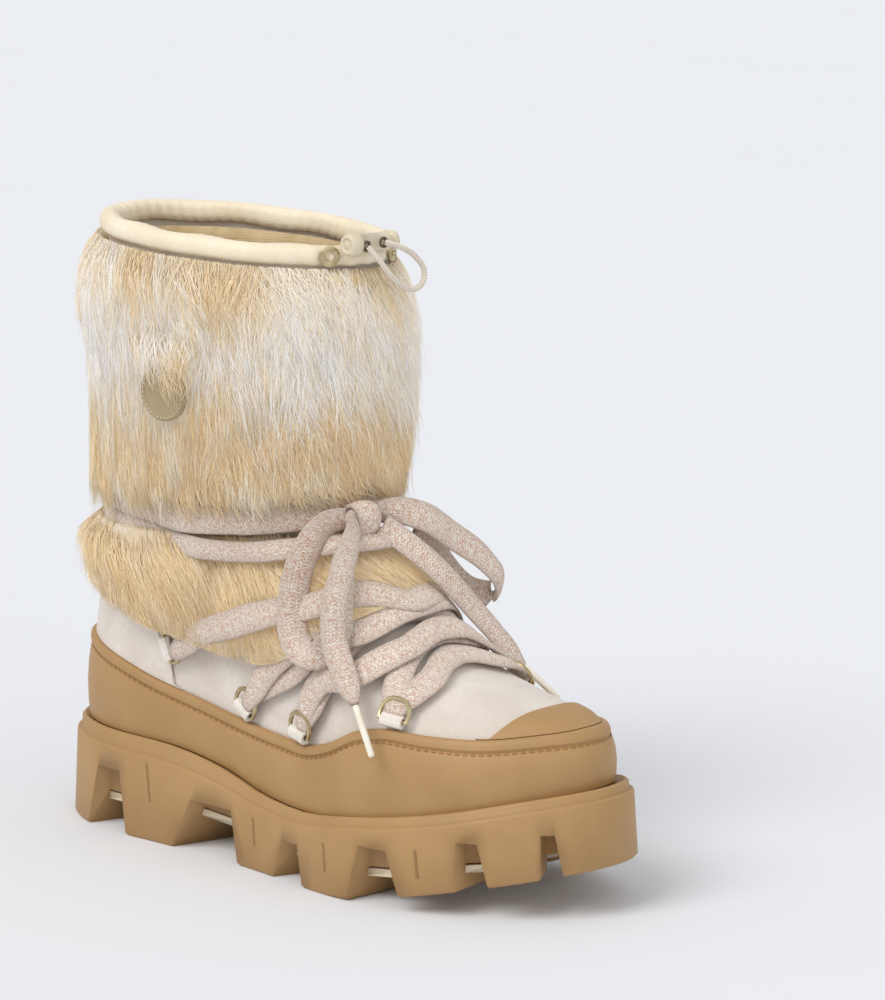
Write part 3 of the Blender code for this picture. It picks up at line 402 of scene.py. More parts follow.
# Depth of the fur from its lower edge up: share of the height, then rear and front
# depths as shares of FUR_DEPTH.
SHAFT_DEPTH = (
    (0.0, 0.55, 1.08), (0.2, 0.52, 1.20), (0.45, 0.62, 1.14), (0.72, 0.98, 1.00),
    (1.0, 1.04, 0.80),
)
ANKLE_DEPTH = ((0.0, 0.50, 0.36), (0.4, 0.74, 0.42), (0.7, 0.76, 0.46), (1.0, 0.50, 0.40))
FUR_ROOT = 0.0011         # the fur's inner face over the leather
ANKLE_ROOT = 0.0020       # the same round the ankle, where the leather curves in
SHAFT_FUR = (0.580, 0.606, 0.983, 0.944)   # rear and front of the hem, then of the top
ANKLE_TOP = (0.508, 0.528)
FUR_HEM = (
    (0.06, 0.435), (0.14, 0.425), (0.22, 0.405), (0.31, 0.394), (0.42, 0.376), (0.50, 0.380),
    (0.56, 0.402), (0.62, 0.436), (0.70, 0.470),
)
# The collar's section: rise over the shaft's edge, then distance out of the leather.
COLLAR = (
    (0.0003, 0.0003), (-0.0056, 0.0003), (-0.0058, 0.0022), (-0.0040, 0.0034), (-0.0010, 0.0036),
    (0.0014, 0.0024), (0.0023, 0.0002), (0.0020, -0.0026), (-0.0005, -0.0046), (-0.0060, -0.0046),
    (-0.0062, -0.0025), (0.0003, -0.0025),
)
LOCK = (0.1628, 0.0024, 0.2544)
LOCK_LENGTH = 0.0272
LOCK_RADIUS = 0.0044
CORD_RADIUS = 0.0012
CORD_LOOP = (
    (0.1677, -0.0040, 0.2537), (0.1706, -0.0008, 0.2484), (0.1725, 0.0044, 0.2417),
    (0.1735, 0.0109, 0.2367), (0.1740, 0.0164, 0.2354), (0.1742, 0.0212, 0.2377),
    (0.1740, 0.0224, 0.2422), (0.1730, 0.0184, 0.2482), (0.1708, 0.0114, 0.2527),
    (0.1678, 0.0060, 0.2546),
)
BADGE = (0.338, 0.752, -1.0)   # station, height as a share of SHAFT_TOP, side
BADGE_OUT = 0.0143
BADGE_RADIUS = 0.0115
# Rings from the toe back: station, lean, then turn and stand on the outer side and the
# inner side.
RINGS = (
    (0.728, 0.0, 47.4, 0.0040, 46.0, 0.0040),
    (0.563, 14.0, 61.0, 0.0040, 56.0, 0.0027),
    (0.437, 30.0, 52.6, 0.0031, 50.0, 0.0040),
    (0.288, 74.0, 36.6, 0.0030, 40.0, 0.0026),
)
LACE_WIDTH = 0.0098
LACE_THICKNESS = 0.0021
LACE_HIGH = 0.0058        # height of the upper lace of a crossing over the leather
LACE_BAR = (
    (0.730, -40.0), (0.742, -27.0), (0.724, -8.0), (0.720, 0.0), (0.724, 8.0),
    (0.742, 27.0), (0.730, 40.0),
)
LACE_CROSSINGS = (
    (
        (0.572, -51.0), (0.586, -46.0), (0.602, -42.0), (0.650, -39.0), (0.690, -21.0),
        (0.683, 0.0), (0.686, 12.0), (0.697, 24.0), (0.722, 38.0),
    ),
    (
        (0.458, -43.0), (0.484, -39.5), (0.528, -33.0), (0.592, -28.0), (0.638, -22.0),
        (0.646, 0.0), (0.630, 20.0), (0.604, 39.0), (0.593, 45.0),
    ),
)
WRAP = (0.535, 0.55, 0.555)
KNOT = (0.1642, -0.0047, 0.1433)
LOOP_OUTER = (
    (0.1616, -0.0110, 0.1442), (0.1590, -0.0190, 0.1430), (0.1582, -0.0300, 0.1346),
    (0.1564, -0.0355, 0.1193), (0.1577, -0.0388, 0.1061), (0.1650, -0.0420, 0.0963),
    (0.1755, -0.0428, 0.0951), (0.1812, -0.0395, 0.1013), (0.1782, -0.0326, 0.1162),
    (0.1726, -0.0240, 0.1302), (0.1682, -0.0146, 0.1352),
)
LOOP_INNER = (
    (0.1630, 0.0030, 0.1446), (0.1690, 0.0100, 0.1456), (0.1760, 0.0190, 0.1428),
    (0.1800, 0.0326, 0.1335), (0.1857, 0.0464, 0.1222), (0.1880, 0.0530, 0.1130),
    (0.1850, 0.0550, 0.1070), (0.1775, 0.0500, 0.1080), (0.1710, 0.0400, 0.1190),
    (0.1716, 0.0318, 0.1296), (0.1708, 0.0196, 0.1350),
)
END_OUTER = (
    (0.1672, -0.0110, 0.1425), (0.1736, -0.0200, 0.1388), (0.1800, -0.0325, 0.1293),
    (0.1828, -0.0404, 0.1172), (0.1842, -0.0426, 0.1034), (0.1912, -0.0442, 0.0899),
    (0.1992, -0.0466, 0.0792),
)
END_INNER = (
    (0.1692, 0.0022, 0.1405), (0.1752, 0.0062, 0.1355), (0.1865, 0.0150, 0.1238),
    (0.1950, 0.0306, 0.1042), (0.2064, 0.0466, 0.0809),
)

# Camera: the picture's own angle, on the outer front quarter of the boot.
CAMERA_TURN = math.radians(41.65)
CAMERA_TILT = 0.1722752
CAMERA_SPOT = (1.09783, -1.17452, 0.42714)
CAMERA_LENS = 144.0


def tone(red, green, blue):
    """A colour read as 0 to 255, as the light that a shader takes."""
    values = [part / 255 for part in (red, green, blue)]
    return tuple(v / 12.92 if v <= 0.04045 else ((v + 0.055) / 1.055) ** 2.4 for v in values)


class Value:
    """A number in a material, which takes part in ordinary arithmetic."""

    def __init__(self, finish, socket):
        self.finish = finish
        self.socket = socket

    def step(self, operation, *others):
        made = self.finish.node("ShaderNodeMath", {"operation": operation}, self, *others)
        return Value(self.finish, made.outputs[0])

    def __add__(self, other):
        return self.step("ADD", other)

    def __sub__(self, other):
        return self.step("SUBTRACT", other)

    def __rsub__(self, other):
        made = self.finish.node("ShaderNodeMath", {"operation": "SUBTRACT"}, other, self)
        return Value(self.finish, made.outputs[0])

    def __mul__(self, other):
        return self.step("MULTIPLY", other)

    __radd__ = __add__
    __rmul__ = __mul__

    def size(self):
        return self.step("ABSOLUTE")

    def wave(self):
        return self.step("SINE")

    def part(self):
        return self.step("FRACT")

    def held(self):
        made = self.finish.node("ShaderNodeClamp", None, self)
        return Value(self.finish, made.outputs[0])

    def rise(self, low, high):
        """0 under low and 1 over high, with a soft step between."""
        made = self.finish.node(
            "ShaderNodeMapRange", {"interpolation_type": "SMOOTHSTEP"}, self, low, high, 0.0, 1.0,
        )
        return Value(self.finish, made.outputs[0])


class Finish:
    """A material of shader nodes on the boot's own coordinates."""

    def __init__(self, name, roughness, **settings):
        self.material = bpy.data.materials.new(name)
        self.material.use_nodes = True
        self.nodes = self.material.node_tree.nodes
        self.links = self.material.node_tree.links
        self.shader = self.nodes["Principled BSDF"]
        self.shader.inputs["Roughness"].default_value = roughness
        for key, value in settings.items():
            self.shader.inputs[key.replace("_", " ")].default_value = value
        self.place = self.node("ShaderNodeTexCoord").outputs["Object"]

    def feed(self, socket, value):
        """Link a value to a socket, or set it there."""
        if isinstance(value, Value):
            value = value.socket
        if isinstance(value, bpy.types.NodeSocket):
            self.links.new(value, socket)
        elif hasattr(value, "__len__") and len(value) == 3 and len(socket.default_value) == 4:
            socket.default_value = (*value, 1.0)
        else:
            socket.default_value = value

    def node(self, kind, settings=None, *values, **named):
        """Any node, with its settings first and then the values of its sockets."""
        made = self.nodes.new(kind)
        for key, value in (settings or {}).items():
            setattr(made, key, value)
        for socket, value in zip(made.inputs, values):
            self.feed(socket, value)
        for key, value in named.items():
            self.feed(made.inputs[key.replace("_", " ")], value)
        return made

    def stretched(self, *scale, place=None):
        made = self.node("ShaderNodeMapping", None, place or self.place, Scale=scale)
        return made.outputs[0]

    def noise(self, scale, detail=3.0, roughness=0.55, place=None, twist=0.0):
        made = self.node(
            "ShaderNodeTexNoise", None, Vector=place or self.place, Scale=scale,
            Detail=detail, Roughness=roughness, Distortion=twist,
        )
        return Value(self, made.outputs[0])

    def cells(self, scale, feature="F1", place=None):
        made = self.node(
            "ShaderNodeTexVoronoi", {"feature": feature}, Vector=place or self.place, Scale=scale,
        )
        return Value(self, made.outputs["Distance"])

    def axis(self, which, place=None):
        made = self.node("ShaderNodeSeparateXYZ", None, place or self.place)
        return Value(self, made.outputs[which])

    def mix(self, share, one, two):
        made = self.nodes.new("ShaderNodeMix")
        made.data_type = "RGBA"
        self.feed(made.inputs[0], share)
        self.feed(made.inputs[6], one)
        self.feed(made.inputs[7], two)
        return made.outputs[2]

    def dress(self, colour=None, height=None, depth=0.0005, strength=0.6, roughness=None):
        """Colour, relief and roughness of the finish, which give its material."""
        if colour is not None:
            self.feed(self.shader.inputs["Base Color"], colour)
        if roughness is not None:
            self.feed(self.shader.inputs["Roughness"], roughness)
        if height is not None:
            made = self.node("ShaderNodeBump", None, Height=height, Distance=depth, Strength=strength)
            self.feed(self.shader.inputs["Normal"], made.outputs[0])
        return self.material


def honey_rubber(name, grooves=False):
    """Moulded honey rubber, on the sole with a groove down some lugs, sunk in relief and painted
    darker as painted shade.
    """
    made = Finish(
        name, 0.5, Subsurface_Weight=0.06, Subsurface_Scale=0.004, Specular_IOR_Level=0.42,
    )
    cloud = made.noise(34, 4)
    speck = made.noise(900, 2)
    colour = made.mix(cloud.rise(0.25, 0.75), tone(168, 131, 84), tone(178, 141, 94))
    colour = made.mix(speck.rise(0.62, 0.8) * 0.22, colour, tone(146, 108, 62))
    grain = made.noise(1900, 2)
    height = grain * 0.35 + made.noise(240, 3) * 0.25
    if grooves:
        along = made.axis(0)
        up = made.axis(2)
        groove_relief_and_shade = None
        for spot, low, high in GROOVES:
            line = 1 - ((along + (up - low) * GROOVE_LEAN) - spot).size().rise(0.0003, 0.0009)
            line = line * up.rise(low, low + 0.001) * (1 - up.rise(high - 0.001, high))
            groove_relief_and_shade = line if groove_relief_and_shade is None else groove_relief_and_shade + line
        side = made.axis(1).size().rise(*GROOVED_SIDE)
        groove_relief_and_shade = (groove_relief_and_shade * side).held()
        # Painted shade: the grooves are coloured darker where they sink into the lugs.
        colour = made.mix(groove_relief_and_shade * 0.55, colour, tone(118, 84, 46))
        height = height - groove_relief_and_shade * 6.0
    return made.dress(colour, height, 0.00022, 0.5, 0.44 + cloud * 0.16)


def suede_finish(name, light=(233, 225, 216), dark=(213, 202, 191)):
    made = Finish(name, 0.88, Sheen_Weight=0.35, Sheen_Roughness=0.5, Specular_IOR_Level=0.2)
    brushed = made.noise(26, 4, 0.6, twist=0.6)
    nap = made.noise(520, 3, 0.7)
    fine = made.noise(2600, 2, 0.7)
    colour = made.mix(brushed.rise(0.3, 0.72), tone(*dark), tone(*light))
    colour = made.mix(nap.rise(0.35, 0.75) * 0.30, colour, tone(202, 190, 178))
    colour = made.mix(fine.rise(0.5, 0.8) * 0.22, colour, tone(246, 241, 234))
    return made.dress(colour, fine * 0.7 + nap * 0.6, 0.0003, 0.5, 0.84 + nap * 0.14)


def leather_finish(name, light, dark, grain=850.0):
    made = Finish(name, 0.5, Specular_IOR_Level=0.4, Coat_Weight=0.04, Coat_Roughness=0.35)
    cloud = made.noise(45, 3)
    pores = made.cells(grain, "DISTANCE_TO_EDGE")
    wrinkle = made.noise(170, 4, 0.6, twist=0.8)
    colour = made.mix(cloud.rise(0.3, 0.7), tone(*dark), tone(*light))
    colour = made.mix((1 - pores.rise(0.0, 0.12)) * 0.18, colour, tone(*[c * 0.8 for c in dark]))
    height = pores.rise(0.0, 0.16) * 0.5 + wrinkle * 0.9
    return made.dress(colour, height, 0.00025, 0.45, 0.42 + wrinkle * 0.2)


def plastic_finish(name, colour, shade):
    made = Finish(name, 0.36, Specular_IOR_Level=0.5)
    cloud = made.noise(90, 3).rise(0.3, 0.7)
    both = made.mix(cloud, tone(*colour), tone(*shade))
    return made.dress(both, made.noise(700, 2), 0.0001, 0.3)


def metal_finish(name):
    made = Finish(name, 0.34, Metallic=1.0)
    worn = made.noise(260, 3)
    colour = made.mix(worn.rise(0.35, 0.7), tone(206, 190, 152), tone(178, 160, 122))
    return made.dress(colour, made.noise(1500, 2), 0.00008, 0.3, 0.28 + worn * 0.2)


def knit_finish(name):
    """Marl wool knit. The piece's own map is in metres: across, then along."""
    made = Finish(name, 0.92, Sheen_Weight=0.3, Sheen_Roughness=0.6, Specular_IOR_Level=0.15)
    place = made.node("ShaderNodeUVMap", {"uv_map": "lace"}).outputs[0]
    across = made.axis(0, place) * KNIT_COLUMNS
    along = made.axis(1, place) * KNIT_ROWS
    column_part = across.part()
    arm = (column_part - 0.5).size()
    row = (along + arm * 1.1).part()
    loop = (row * math.pi).wave() * (1 - (arm - 0.25).size() * 2.2)
    fleck = made.noise(1.0, 3, 0.6, place=made.stretched(1500, 620, 1, place=place), twist=0.5)
    tuft = made.noise(1.0, 3, 0.7, place=made.stretched(2800, 1300, 1, place=place))
    patch = made.noise(60, 3, 0.6)
    colour = made.mix(fleck.rise(0.42, 0.62) * 0.75, tone(243, 230, 217), tone(212, 166, 138))
    colour = made.mix(tuft.rise(0.54, 0.70) * 0.60, colour, tone(186, 134, 104))
    colour = made.mix((1 - tuft).rise(0.58, 0.72) * 0.6, colour, tone(248, 240, 232))
    colour = made.mix(patch.rise(0.45, 0.7) * 0.20, colour, tone(244, 234, 224))
    # Painted shade: the knit is coloured darker between its raised loops, where they sink.
    colour = made.mix((1 - loop.rise(0.05, 0.5)) * 0.26, colour, tone(150, 112, 92))
    return made.dress(colour, loop * 1.1 + tuft * 0.9, 0.0006, 0.8)


def cord_finish(name):
    made = Finish(name, 0.8, Sheen_Weight=0.2)
    place = made.node("ShaderNodeUVMap", {"uv_map": "lace"}).outputs[0]
    twill = (made.axis(0, place) * THREADS + made.axis(1, place) * THREADS).wave()
    # Painted shade: the twill's colour is darker in the low furrows of its weave.
    colour = made.mix(twill.rise(-0.6, 0.8), tone(216, 203, 184), tone(240, 231, 217))
    return made.dress(colour, twill, 0.0002, 0.6)


def fur_finish(name):
    """Hair, in the tint that each strand carries, with a little painted glow of its own that lightens
    the shade between strands.
    """
    made = Finish(name, 0.66, Sheen_Weight=0.2, Specular_IOR_Level=0.3, Emission_Strength=0.13)
    tint = made.node("ShaderNodeAttribute", {"attribute_name": "tint"}).outputs["Color"]
    streak = made.noise(1.0, 3, 0.6, place=made.stretched(700, 700, 30))
    colour = made.mix(streak.rise(0.3, 0.75) * 0.25, tint, tone(250, 240, 222))
    # Painted light: the hair glows a little in its own colour, which lifts the shade between strands.
    made.feed(made.shader.inputs["Emission Color"], colour)
    return made.dress(colour)


def hide_finish(name):
    """The skin under the hair, streaked like hair where it shows."""
    made = Finish(name, 0.9)
    streak = made.noise(1.0, 4, 0.65, place=made.stretched(900, 900, 70), twist=0.4)
    patch = made.noise(40, 3)
    colour = made.mix(patch.rise(0.35, 0.65), tone(226, 200, 152), tone(240, 230, 212))
    colour = made.mix(streak.rise(0.35, 0.7) * 0.4, colour, tone(200, 168, 120))
    return made.dress(colour, streak, 0.001, 0.8)


def lining_finish(name):
    made = Finish(name, 0.85, Sheen_Weight=0.2)
    warp = (made.axis(2) * THREADS).wave()
    weft = (made.axis(0) * THREADS + made.axis(1) * THREADS).wave()
    weave = (warp + weft) * 0.5
    cloud = made.noise(60, 3)
    colour = made.mix(cloud.rise(0.3, 0.7), tone(196, 170, 126), tone(214, 191, 150))
    return made.dress(colour, weave, 0.0002, 0.4)


# Grooves down the lugs' faces: place along the boot, then low and high ends.
GROOVES = (
    (-0.0722, 0.016, 0.033), (-0.0066, 0.010, 0.022), (0.0402, 0.009, 0.021),
    (0.0872, 0.014, 0.026),
)
GROOVE_LEAN = 0.16
GROOVED_SIDE = (0.030, 0.034)   # the grooves fade in between these distances from the middle
KNIT_COLUMNS = 800.0            # knit columns and rows in a metre of lace
KNIT_ROWS = 680.0
THREADS = 5200.0                # turn of the weave's wave in a metre, in radians

rubber = honey_rubber("honey rubber")
sole_rubber = honey_rubber("honey rubber with grooves", True)
cream_rubber = plastic_finish("cream tread rubber", (228, 214, 190), (216, 200, 172))
suede = suede_finish("bone suede")
tab_suede = suede_finish("ring tab suede", (240, 234, 226), (222, 212, 200))
collar_leather = leather_finish("cream collar leather", (250, 238, 213), (241, 226, 197))
badge_leather = leather_finish("badge leather", (178, 160, 124), (160, 142, 108), 1100.0)
knit = knit_finish("marl knit lace")
metal = metal_finish("khaki metal")
plastic = plastic_finish("cream plastic", (226, 214, 188), (212, 198, 168))
aglet_plastic = plastic_finish("aglet plastic", (242, 236, 220), (232, 224, 204))
# Painted shade: this dark colour stands for the shade inside the lock's cord holes.
bore_painted_shade = plastic_finish("dark bore", (96, 84, 62), (80, 68, 50))
cord_cover = cord_finish("cord cover")
fur_hair = fur_finish("fur hair")
fur_hide = hide_finish("fur hide")
lining = lining_finish("cloth lining")
thread = plastic_finish("tan thread", (176, 122, 62), (156, 104, 50))
pale_thread = plastic_finish("cream thread", (222, 208, 176), (206, 190, 156))

# Nodes whose own shape is right, with their finish and the record's slot.
KEPT = {
    "outsole": (sole_rubber, "honey_rubber"), "tread_plate": (cream_rubber, "cream_rubber"),
    "insole": (lining, "lining"), "badge": (badge_leather, "cream_leather"),
    "eyelet_inner": (metal, "pale_metal"), "eyelet_outer": (metal, "pale_metal"),
    "rear_stud": (metal, "pale_metal"), "aglet_inner": (aglet_plastic, "cream_plastic"),
    "aglet_outer": (aglet_plastic, "cream_plastic"),
}
for word in ("outer", "inner"):
    for number in range(1, 5):
        KEPT[f"lace_ring_{word}_{number}"] = (metal, "pale_metal")
        KEPT[f"ring_tab_{word}_{number}"] = (tab_suede, "suede")

NODE_CREASE = math.radians(32)    # edges sharper than this stay sharp
SHELL_CREASE = math.radians(38)


def finish_piece(name, work, finish, slot):
    """A piece from a worked mesh, with its finish and the boot's one body. Its slot is not used."""
    mesh = bpy.data.meshes.new(name)
    work.to_mesh(mesh)
    work.free()
    item = bpy.data.objects.new(name, mesh)
    bpy.context.scene.collection.objects.link(item)
    mesh.materials.append(finish)
    mesh.shade_smooth()
    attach(item, "root")
    return item


def welded(node, finish, slot):
    """A copy of a node with its triangles joined, so that its curves shade smoothly."""
    work = bmesh.new()
    work.from_mesh(nodes[node].data)
    bmesh.ops.remove_doubles(work, verts=work.verts, dist=5e-6)
    piece = finish_piece(node + "_dressed", work, finish, slot)
    piece.data.set_sharp_from_angle(angle=NODE_CREASE)
    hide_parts(node)
    return piece


def surface(name, across, along, shape, finish, slot, capped=False, sizes=(1.0, 1.0)):
    """A grid bent to a shape: shape takes two arrays from 0 to 1 and gives points."""
    work = bmesh.new()
    layer = work.loops.layers.uv.new("lace")
    bmesh.ops.create_grid(work, x_segments=across, y_segments=along, size=0.5, calc_uvs=True)
    flat = np.array([vert.co for vert in work.verts])
    points = shape(flat[:, 0] + 0.5, flat[:, 1] + 0.5) + SHIFT
    for vert, point in zip(work.verts, points):
        vert.co = point
    for face in work.faces:
        for corner in face.loops:
            spot = corner[layer].uv
            spot.x *= sizes[0]
            spot.y *= sizes[1]
    bmesh.ops.remove_doubles(work, verts=work.verts, dist=2e-6)
    if capped:
        edges = [edge for edge in work.edges if edge.is_boundary]
        bmesh.ops.holes_fill(work, edges=edges, sides=0)
    bmesh.ops.recalc_face_normals(work, faces=work.faces)
    return finish_piece(name, work, finish, slot)


for name, (finish, slot) in KEPT.items():
    welded(name, finish, slot)

ALL_ROUND = (0.0, 1.0)


def shell(name, node, heights, grows, finish, slot, across, turns=ALL_ROUND, flat_foot=False):
    """A smooth skin through rings of the last: one height and one distance for each row."""
    count = len(heights)
    rows = []
    whole = turns == ALL_ROUND
    around = turns[0] + (turns[1] - turns[0]) * np.arange(across + 1) / across
    for index, (height, grow) in enumerate(zip(heights, grows)):
        flat = flat_foot and index in (0, count - 1)
        rows.append(ring(height, grow, around % 1.0, flat))
    rows = np.array(rows)
    if whole:
        rows[:, -1] = rows[:, 0]

    def shape(u, v):
        i = np.clip(np.rint(v * (count - 1)).astype(int), 0, count - 1)
        j = np.clip(np.rint(u * across).astype(int), 0, across)
        return rows[i, j]

    piece = surface(name, across, count - 1, shape, finish, slot, not whole)
    piece.data.set_sharp_from_angle(angle=SHELL_CREASE)
    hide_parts(node)
    return piece


def spread(heights, parts):
    """Heights with more between each pair, so that the curve up the foot is smooth."""
    rows = []
    for one, two in zip(heights, heights[1:]):
        rows += [between(one, two, step / parts) for step in range(parts)]
    return rows + [heights[-1]]


FOOT_LIFT = 0.0006        # the rand and the upper start this far over the sole
RAND_BACK = 0.0006        # the rand's hidden face over the leather
foot_low = raised(platform, FOOT_LIFT)
neck = raised(rand_top, -BEAD_HEIGHT)
rand_rows = [foot_low, between(foot_low, neck, 0.45), neck, rand_top]
cap_rows = [rand_top, between(rand_top, cap_edge, 0.5), cap_edge]
leg_rows = [level(rear * SHAFT_TOP, station, front * SHAFT_TOP) for rear, station, front in LEVELS]
rand_out = GAP + RAND_THICKNESS
# The rand's section from its foot: a swelled wall, a groove for the stitches, the bead
# along the top, then down its hidden face.
rand_wall = (
    (foot_low, rand_out),
    (between(foot_low, neck, 0.2), rand_out + 0.0005),
    (rand_rows[1], rand_out + 0.0008),
    (between(foot_low, neck, 0.7), rand_out + 0.0006),
    (between(foot_low, neck, 0.9), rand_out + 0.0001),
    (raised(neck, -0.0011), rand_out - 0.0004),
    (raised(neck, -0.0006), rand_out - 0.0007),
    (raised(neck, -0.0001), rand_out - 0.0004),
    (raised(neck, 0.0004), rand_out + 0.0003),
    (raised(neck, 0.0014), rand_out + 0.0005),
    (raised(rand_top, -0.0012), rand_out + 0.0004),
    (raised(rand_top, -0.0004), rand_out - 0.0001),
    (rand_top, rand_out - 0.0010),
    (rand_top, RAND_BACK),
    (neck, RAND_BACK),
    (rand_rows[1], RAND_BACK),
    (foot_low, RAND_BACK),
    (foot_low, rand_out),
)
shell(
    "rand_rubber", "rand", column(rand_wall, 0), column(rand_wall, 1), rubber, "honey_rubber", 240,
    flat_foot=True,
)
outer_rows = spread(rand_rows + cap_rows[1:] + leg_rows, 2)
skin = outer_rows + outer_rows[::-1] + outer_rows[:1]
skin_out = [0.0] * len(outer_rows) + [-WALL] * len(outer_rows) + [0.0]
shell("upper_suede", "upper", skin, skin_out, suede, "suede", 200)


def overlay(name, node, heights, centre, reach_turn, thickness, finish, slot, across):
    """A piece laid on the upper over part of a turn."""
    rows = spread(heights, 3)
    skin = rows[:1] + rows + rows[-1:] + rows[::-1]
    grows = [GAP] + [GAP + thickness] * len(rows) + [GAP] * (len(rows) + 1)
    turns = (centre - reach_turn, centre + reach_turn)
    return shell(name, node, skin, grows, finish, slot, across, turns)


CAP_START = 0.862         # station where the toe cap's top edge leaves the rand
CAP_SLOPE = 1.3
CAP_THICKNESS = 0.0014
COUNTER_END = 0.250       # station of the heel counter's front edge
COUNTER_THICKNESS = 0.0009


def cap_line(x):
    """Top edge of the toe cap: a climb from a point on the rand, then its steeper edge."""
    slow = CAP_SLOPE * (x - CAP_START * SOLE_LENGTH)
    quick = CAP_RISE + CAP_LEAN * (x - CAP_STATION * SOLE_LENGTH)
    return rand_top(x) + 0.0005 + np.maximum(np.maximum(slow, quick), 0)


def turn_at(height, station):
    """The turn at which a ring passes a station, from the toe round the inner side."""
    turns = np.arange(960) / 960
    x = ring(height, 0.0, turns)[:480, 0]
    return turns[np.argmax(x < station * SOLE_LENGTH)]


cap_heights = [raised(rand_top, GAP), between(rand_top, cap_line, 0.5), cap_line]
overlay(
    "toe_cap_rubber", "toe_cap", cap_heights, 0.0, turn_at(rand_top, CAP_START), CAP_THICKNESS,
    rubber, "honey_rubber", 150,
)
counter_heights = [raised(rand_top, GAP)] + cap_rows[1:] + leg_rows[:1]
overlay(
    "heel_counter_suede", "heel_counter", counter_heights, 0.5,
    0.5 - turn_at(leg_rows[0], COUNTER_END), COUNTER_THICKNESS, suede, "suede", 120,
)


def ribbon(name, points, outs, widths, thick, finish=knit, slot="knit", plump=2.6, closed=False):
    """A soft flat band through points, with a rounded section and a map in metres."""
    points = np.asarray(points, float)
    outs = np.asarray(outs, float)
    count = len(points)
    tangent = np.gradient(points, axis=0)
    if closed:
        tangent[0] = tangent[-1] = points[1] - points[-2]
    tangent /= np.linalg.norm(tangent, axis=1, keepdims=True)
    side = np.cross(tangent, outs)
    side /= np.linalg.norm(side, axis=1, keepdims=True)
    top = np.cross(side, tangent)
    widths = np.broadcast_to(widths, count)
    thick = np.broadcast_to(thick, count)
    length = np.linalg.norm(np.diff(points, axis=0), axis=1).sum()

    def shape(u, v):
        at = np.clip(np.rint(v * (count - 1)).astype(int), 0, count - 1)
        turn = 2 * math.pi * u
        c, s = np.cos(turn), np.sin(turn)
        a = np.sign(c) * np.abs(c) ** (2 / plump) * widths[at] / 2
        b = np.sign(s) * np.abs(s) ** (2 / plump) * thick[at] / 2
        b = b * (1 + 0.10 * np.cos(3 * math.pi * a / np.maximum(widths[at], 1e-6)))
        return points[at] + side[at] * a[:, None] + top[at] * b[:, None]

    around = 2.1 * (LACE_WIDTH if slot == "knit" else 2 * CORD_RADIUS)
    return surface(name, 20, count - 1, shape, finish, slot, not closed, (around, length))


def foot_strand(rows, count):
    """Points over the foot through rows of (station, turn, height over the leather)."""
    weights = np.array([SOLE_LENGTH, FOOT_AXIS * math.pi / 180, 1.0])
    path = through(np.asarray(rows) * weights, count) / weights
    points, outs = [], []
    for station, turn, lift_off in path:
        point, out = on_foot(station, turn)
        points.append(point + out * lift_off)
        outs.append(out)
    return np.array(points), np.array(outs)


def pinched(count, share):
    """Widths of a lace that narrows to half over a share of its length at both rings."""
    at = np.linspace(0, 1, count)
    inward = np.clip(np.minimum(at, 1 - at) / share, 0, 1)
    close = 0.5 + 0.5 * inward**0.7
    return LACE_WIDTH * 1.2 * close * (1 + 0.05 * np.sin(at * 23.0 + count))


RING_PAST = 3.0           # a lace meets its ring this many degrees below the ring's loop
RING_LACE = 0.0042        # its height over the leather there
BAR_LACE = 0.0030         # height of the front lace between its rings
FULL_LACE = LACE_THICKNESS * 1.15


def ring_point(number, side):
    """Where a lace passes through a ring: station, turn and height over the leather."""
    station, _, outer, _, inner, _ = RINGS[number - 1]
    turn = inner if side > 0 else -outer
    return (station, turn + side * RING_PAST, RING_LACE)


# Laces over the foot. The crossings start and end in the rings.
bar = [(station, turn, BAR_LACE) for station, turn in LACE_BAR[1:-1]]
points, outs = foot_strand([ring_point(1, -1)] + bar + [ring_point(1, 1)], 60)
strand = ribbon("lace_bar_knit", points, outs, pinched(60, 0.10), FULL_LACE)
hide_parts("lace_bar")
for number, rows in enumerate(LACE_CROSSINGS, 1):
    for mirror, word, height in ((1, "over", LACE_HIGH), (-1, "under", BAR_LACE)):
        start = ring_point(number + 1, -mirror)
        end = ring_point(number, mirror)
        inside = [(station, turn * mirror, height) for station, turn in rows[1:-1]]
        if word == "over":
            inside[0] = (*inside[0][:2], 0.0048)
            inside[-1] = (*inside[-1][:2], 0.0046)
        points, outs = foot_strand([start] + inside + [end], 80)
        name = f"lace_{word}_{number}"
        strand = ribbon(name + "_knit", points, outs, pinched(80, 0.08), FULL_LACE)
        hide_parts(name)

# Bands that run on the fur, from the rear rings to the front ones: station, turn and
# height over the leather.
TOP_BAND = (
    (0.288, -38.5, 0.0040), (0.345, -31.5, 0.0074), (0.430, -26.0, 0.0094), (0.508, -23.5, 0.0096),
    (0.577, -20.0, 0.0086), (0.608, -13.5, 0.0074), (0.640, -3.0, 0.0072), (0.632, 10.0, 0.0066),
    (0.600, 24.0, 0.0060), (0.540, 38.0, 0.0056), (0.470, 46.0, 0.0052), (0.437, 51.0, 0.0042),
)
for mirror, word, lower in ((1, "over", 0.0), (-1, "under", 0.0030)):
    rows = [(s, t * mirror, max(h - lower, BAR_LACE)) for s, t, h in TOP_BAND]
    points, outs = foot_strand(rows, 90)
    ribbon(f"lace_{word}_3_knit", points, outs, pinched(90, 0.07), LACE_THICKNESS * 1.1)


def soft_step(low, high, x):
    t = np.clip((x - low) / (high - low), 0, 1)
    return t * t * (3 - 2 * t)


SNUG_TURN = 0.58          # where the wraps lie closest to the leather
SNUG = 0.0018             # their height over it there


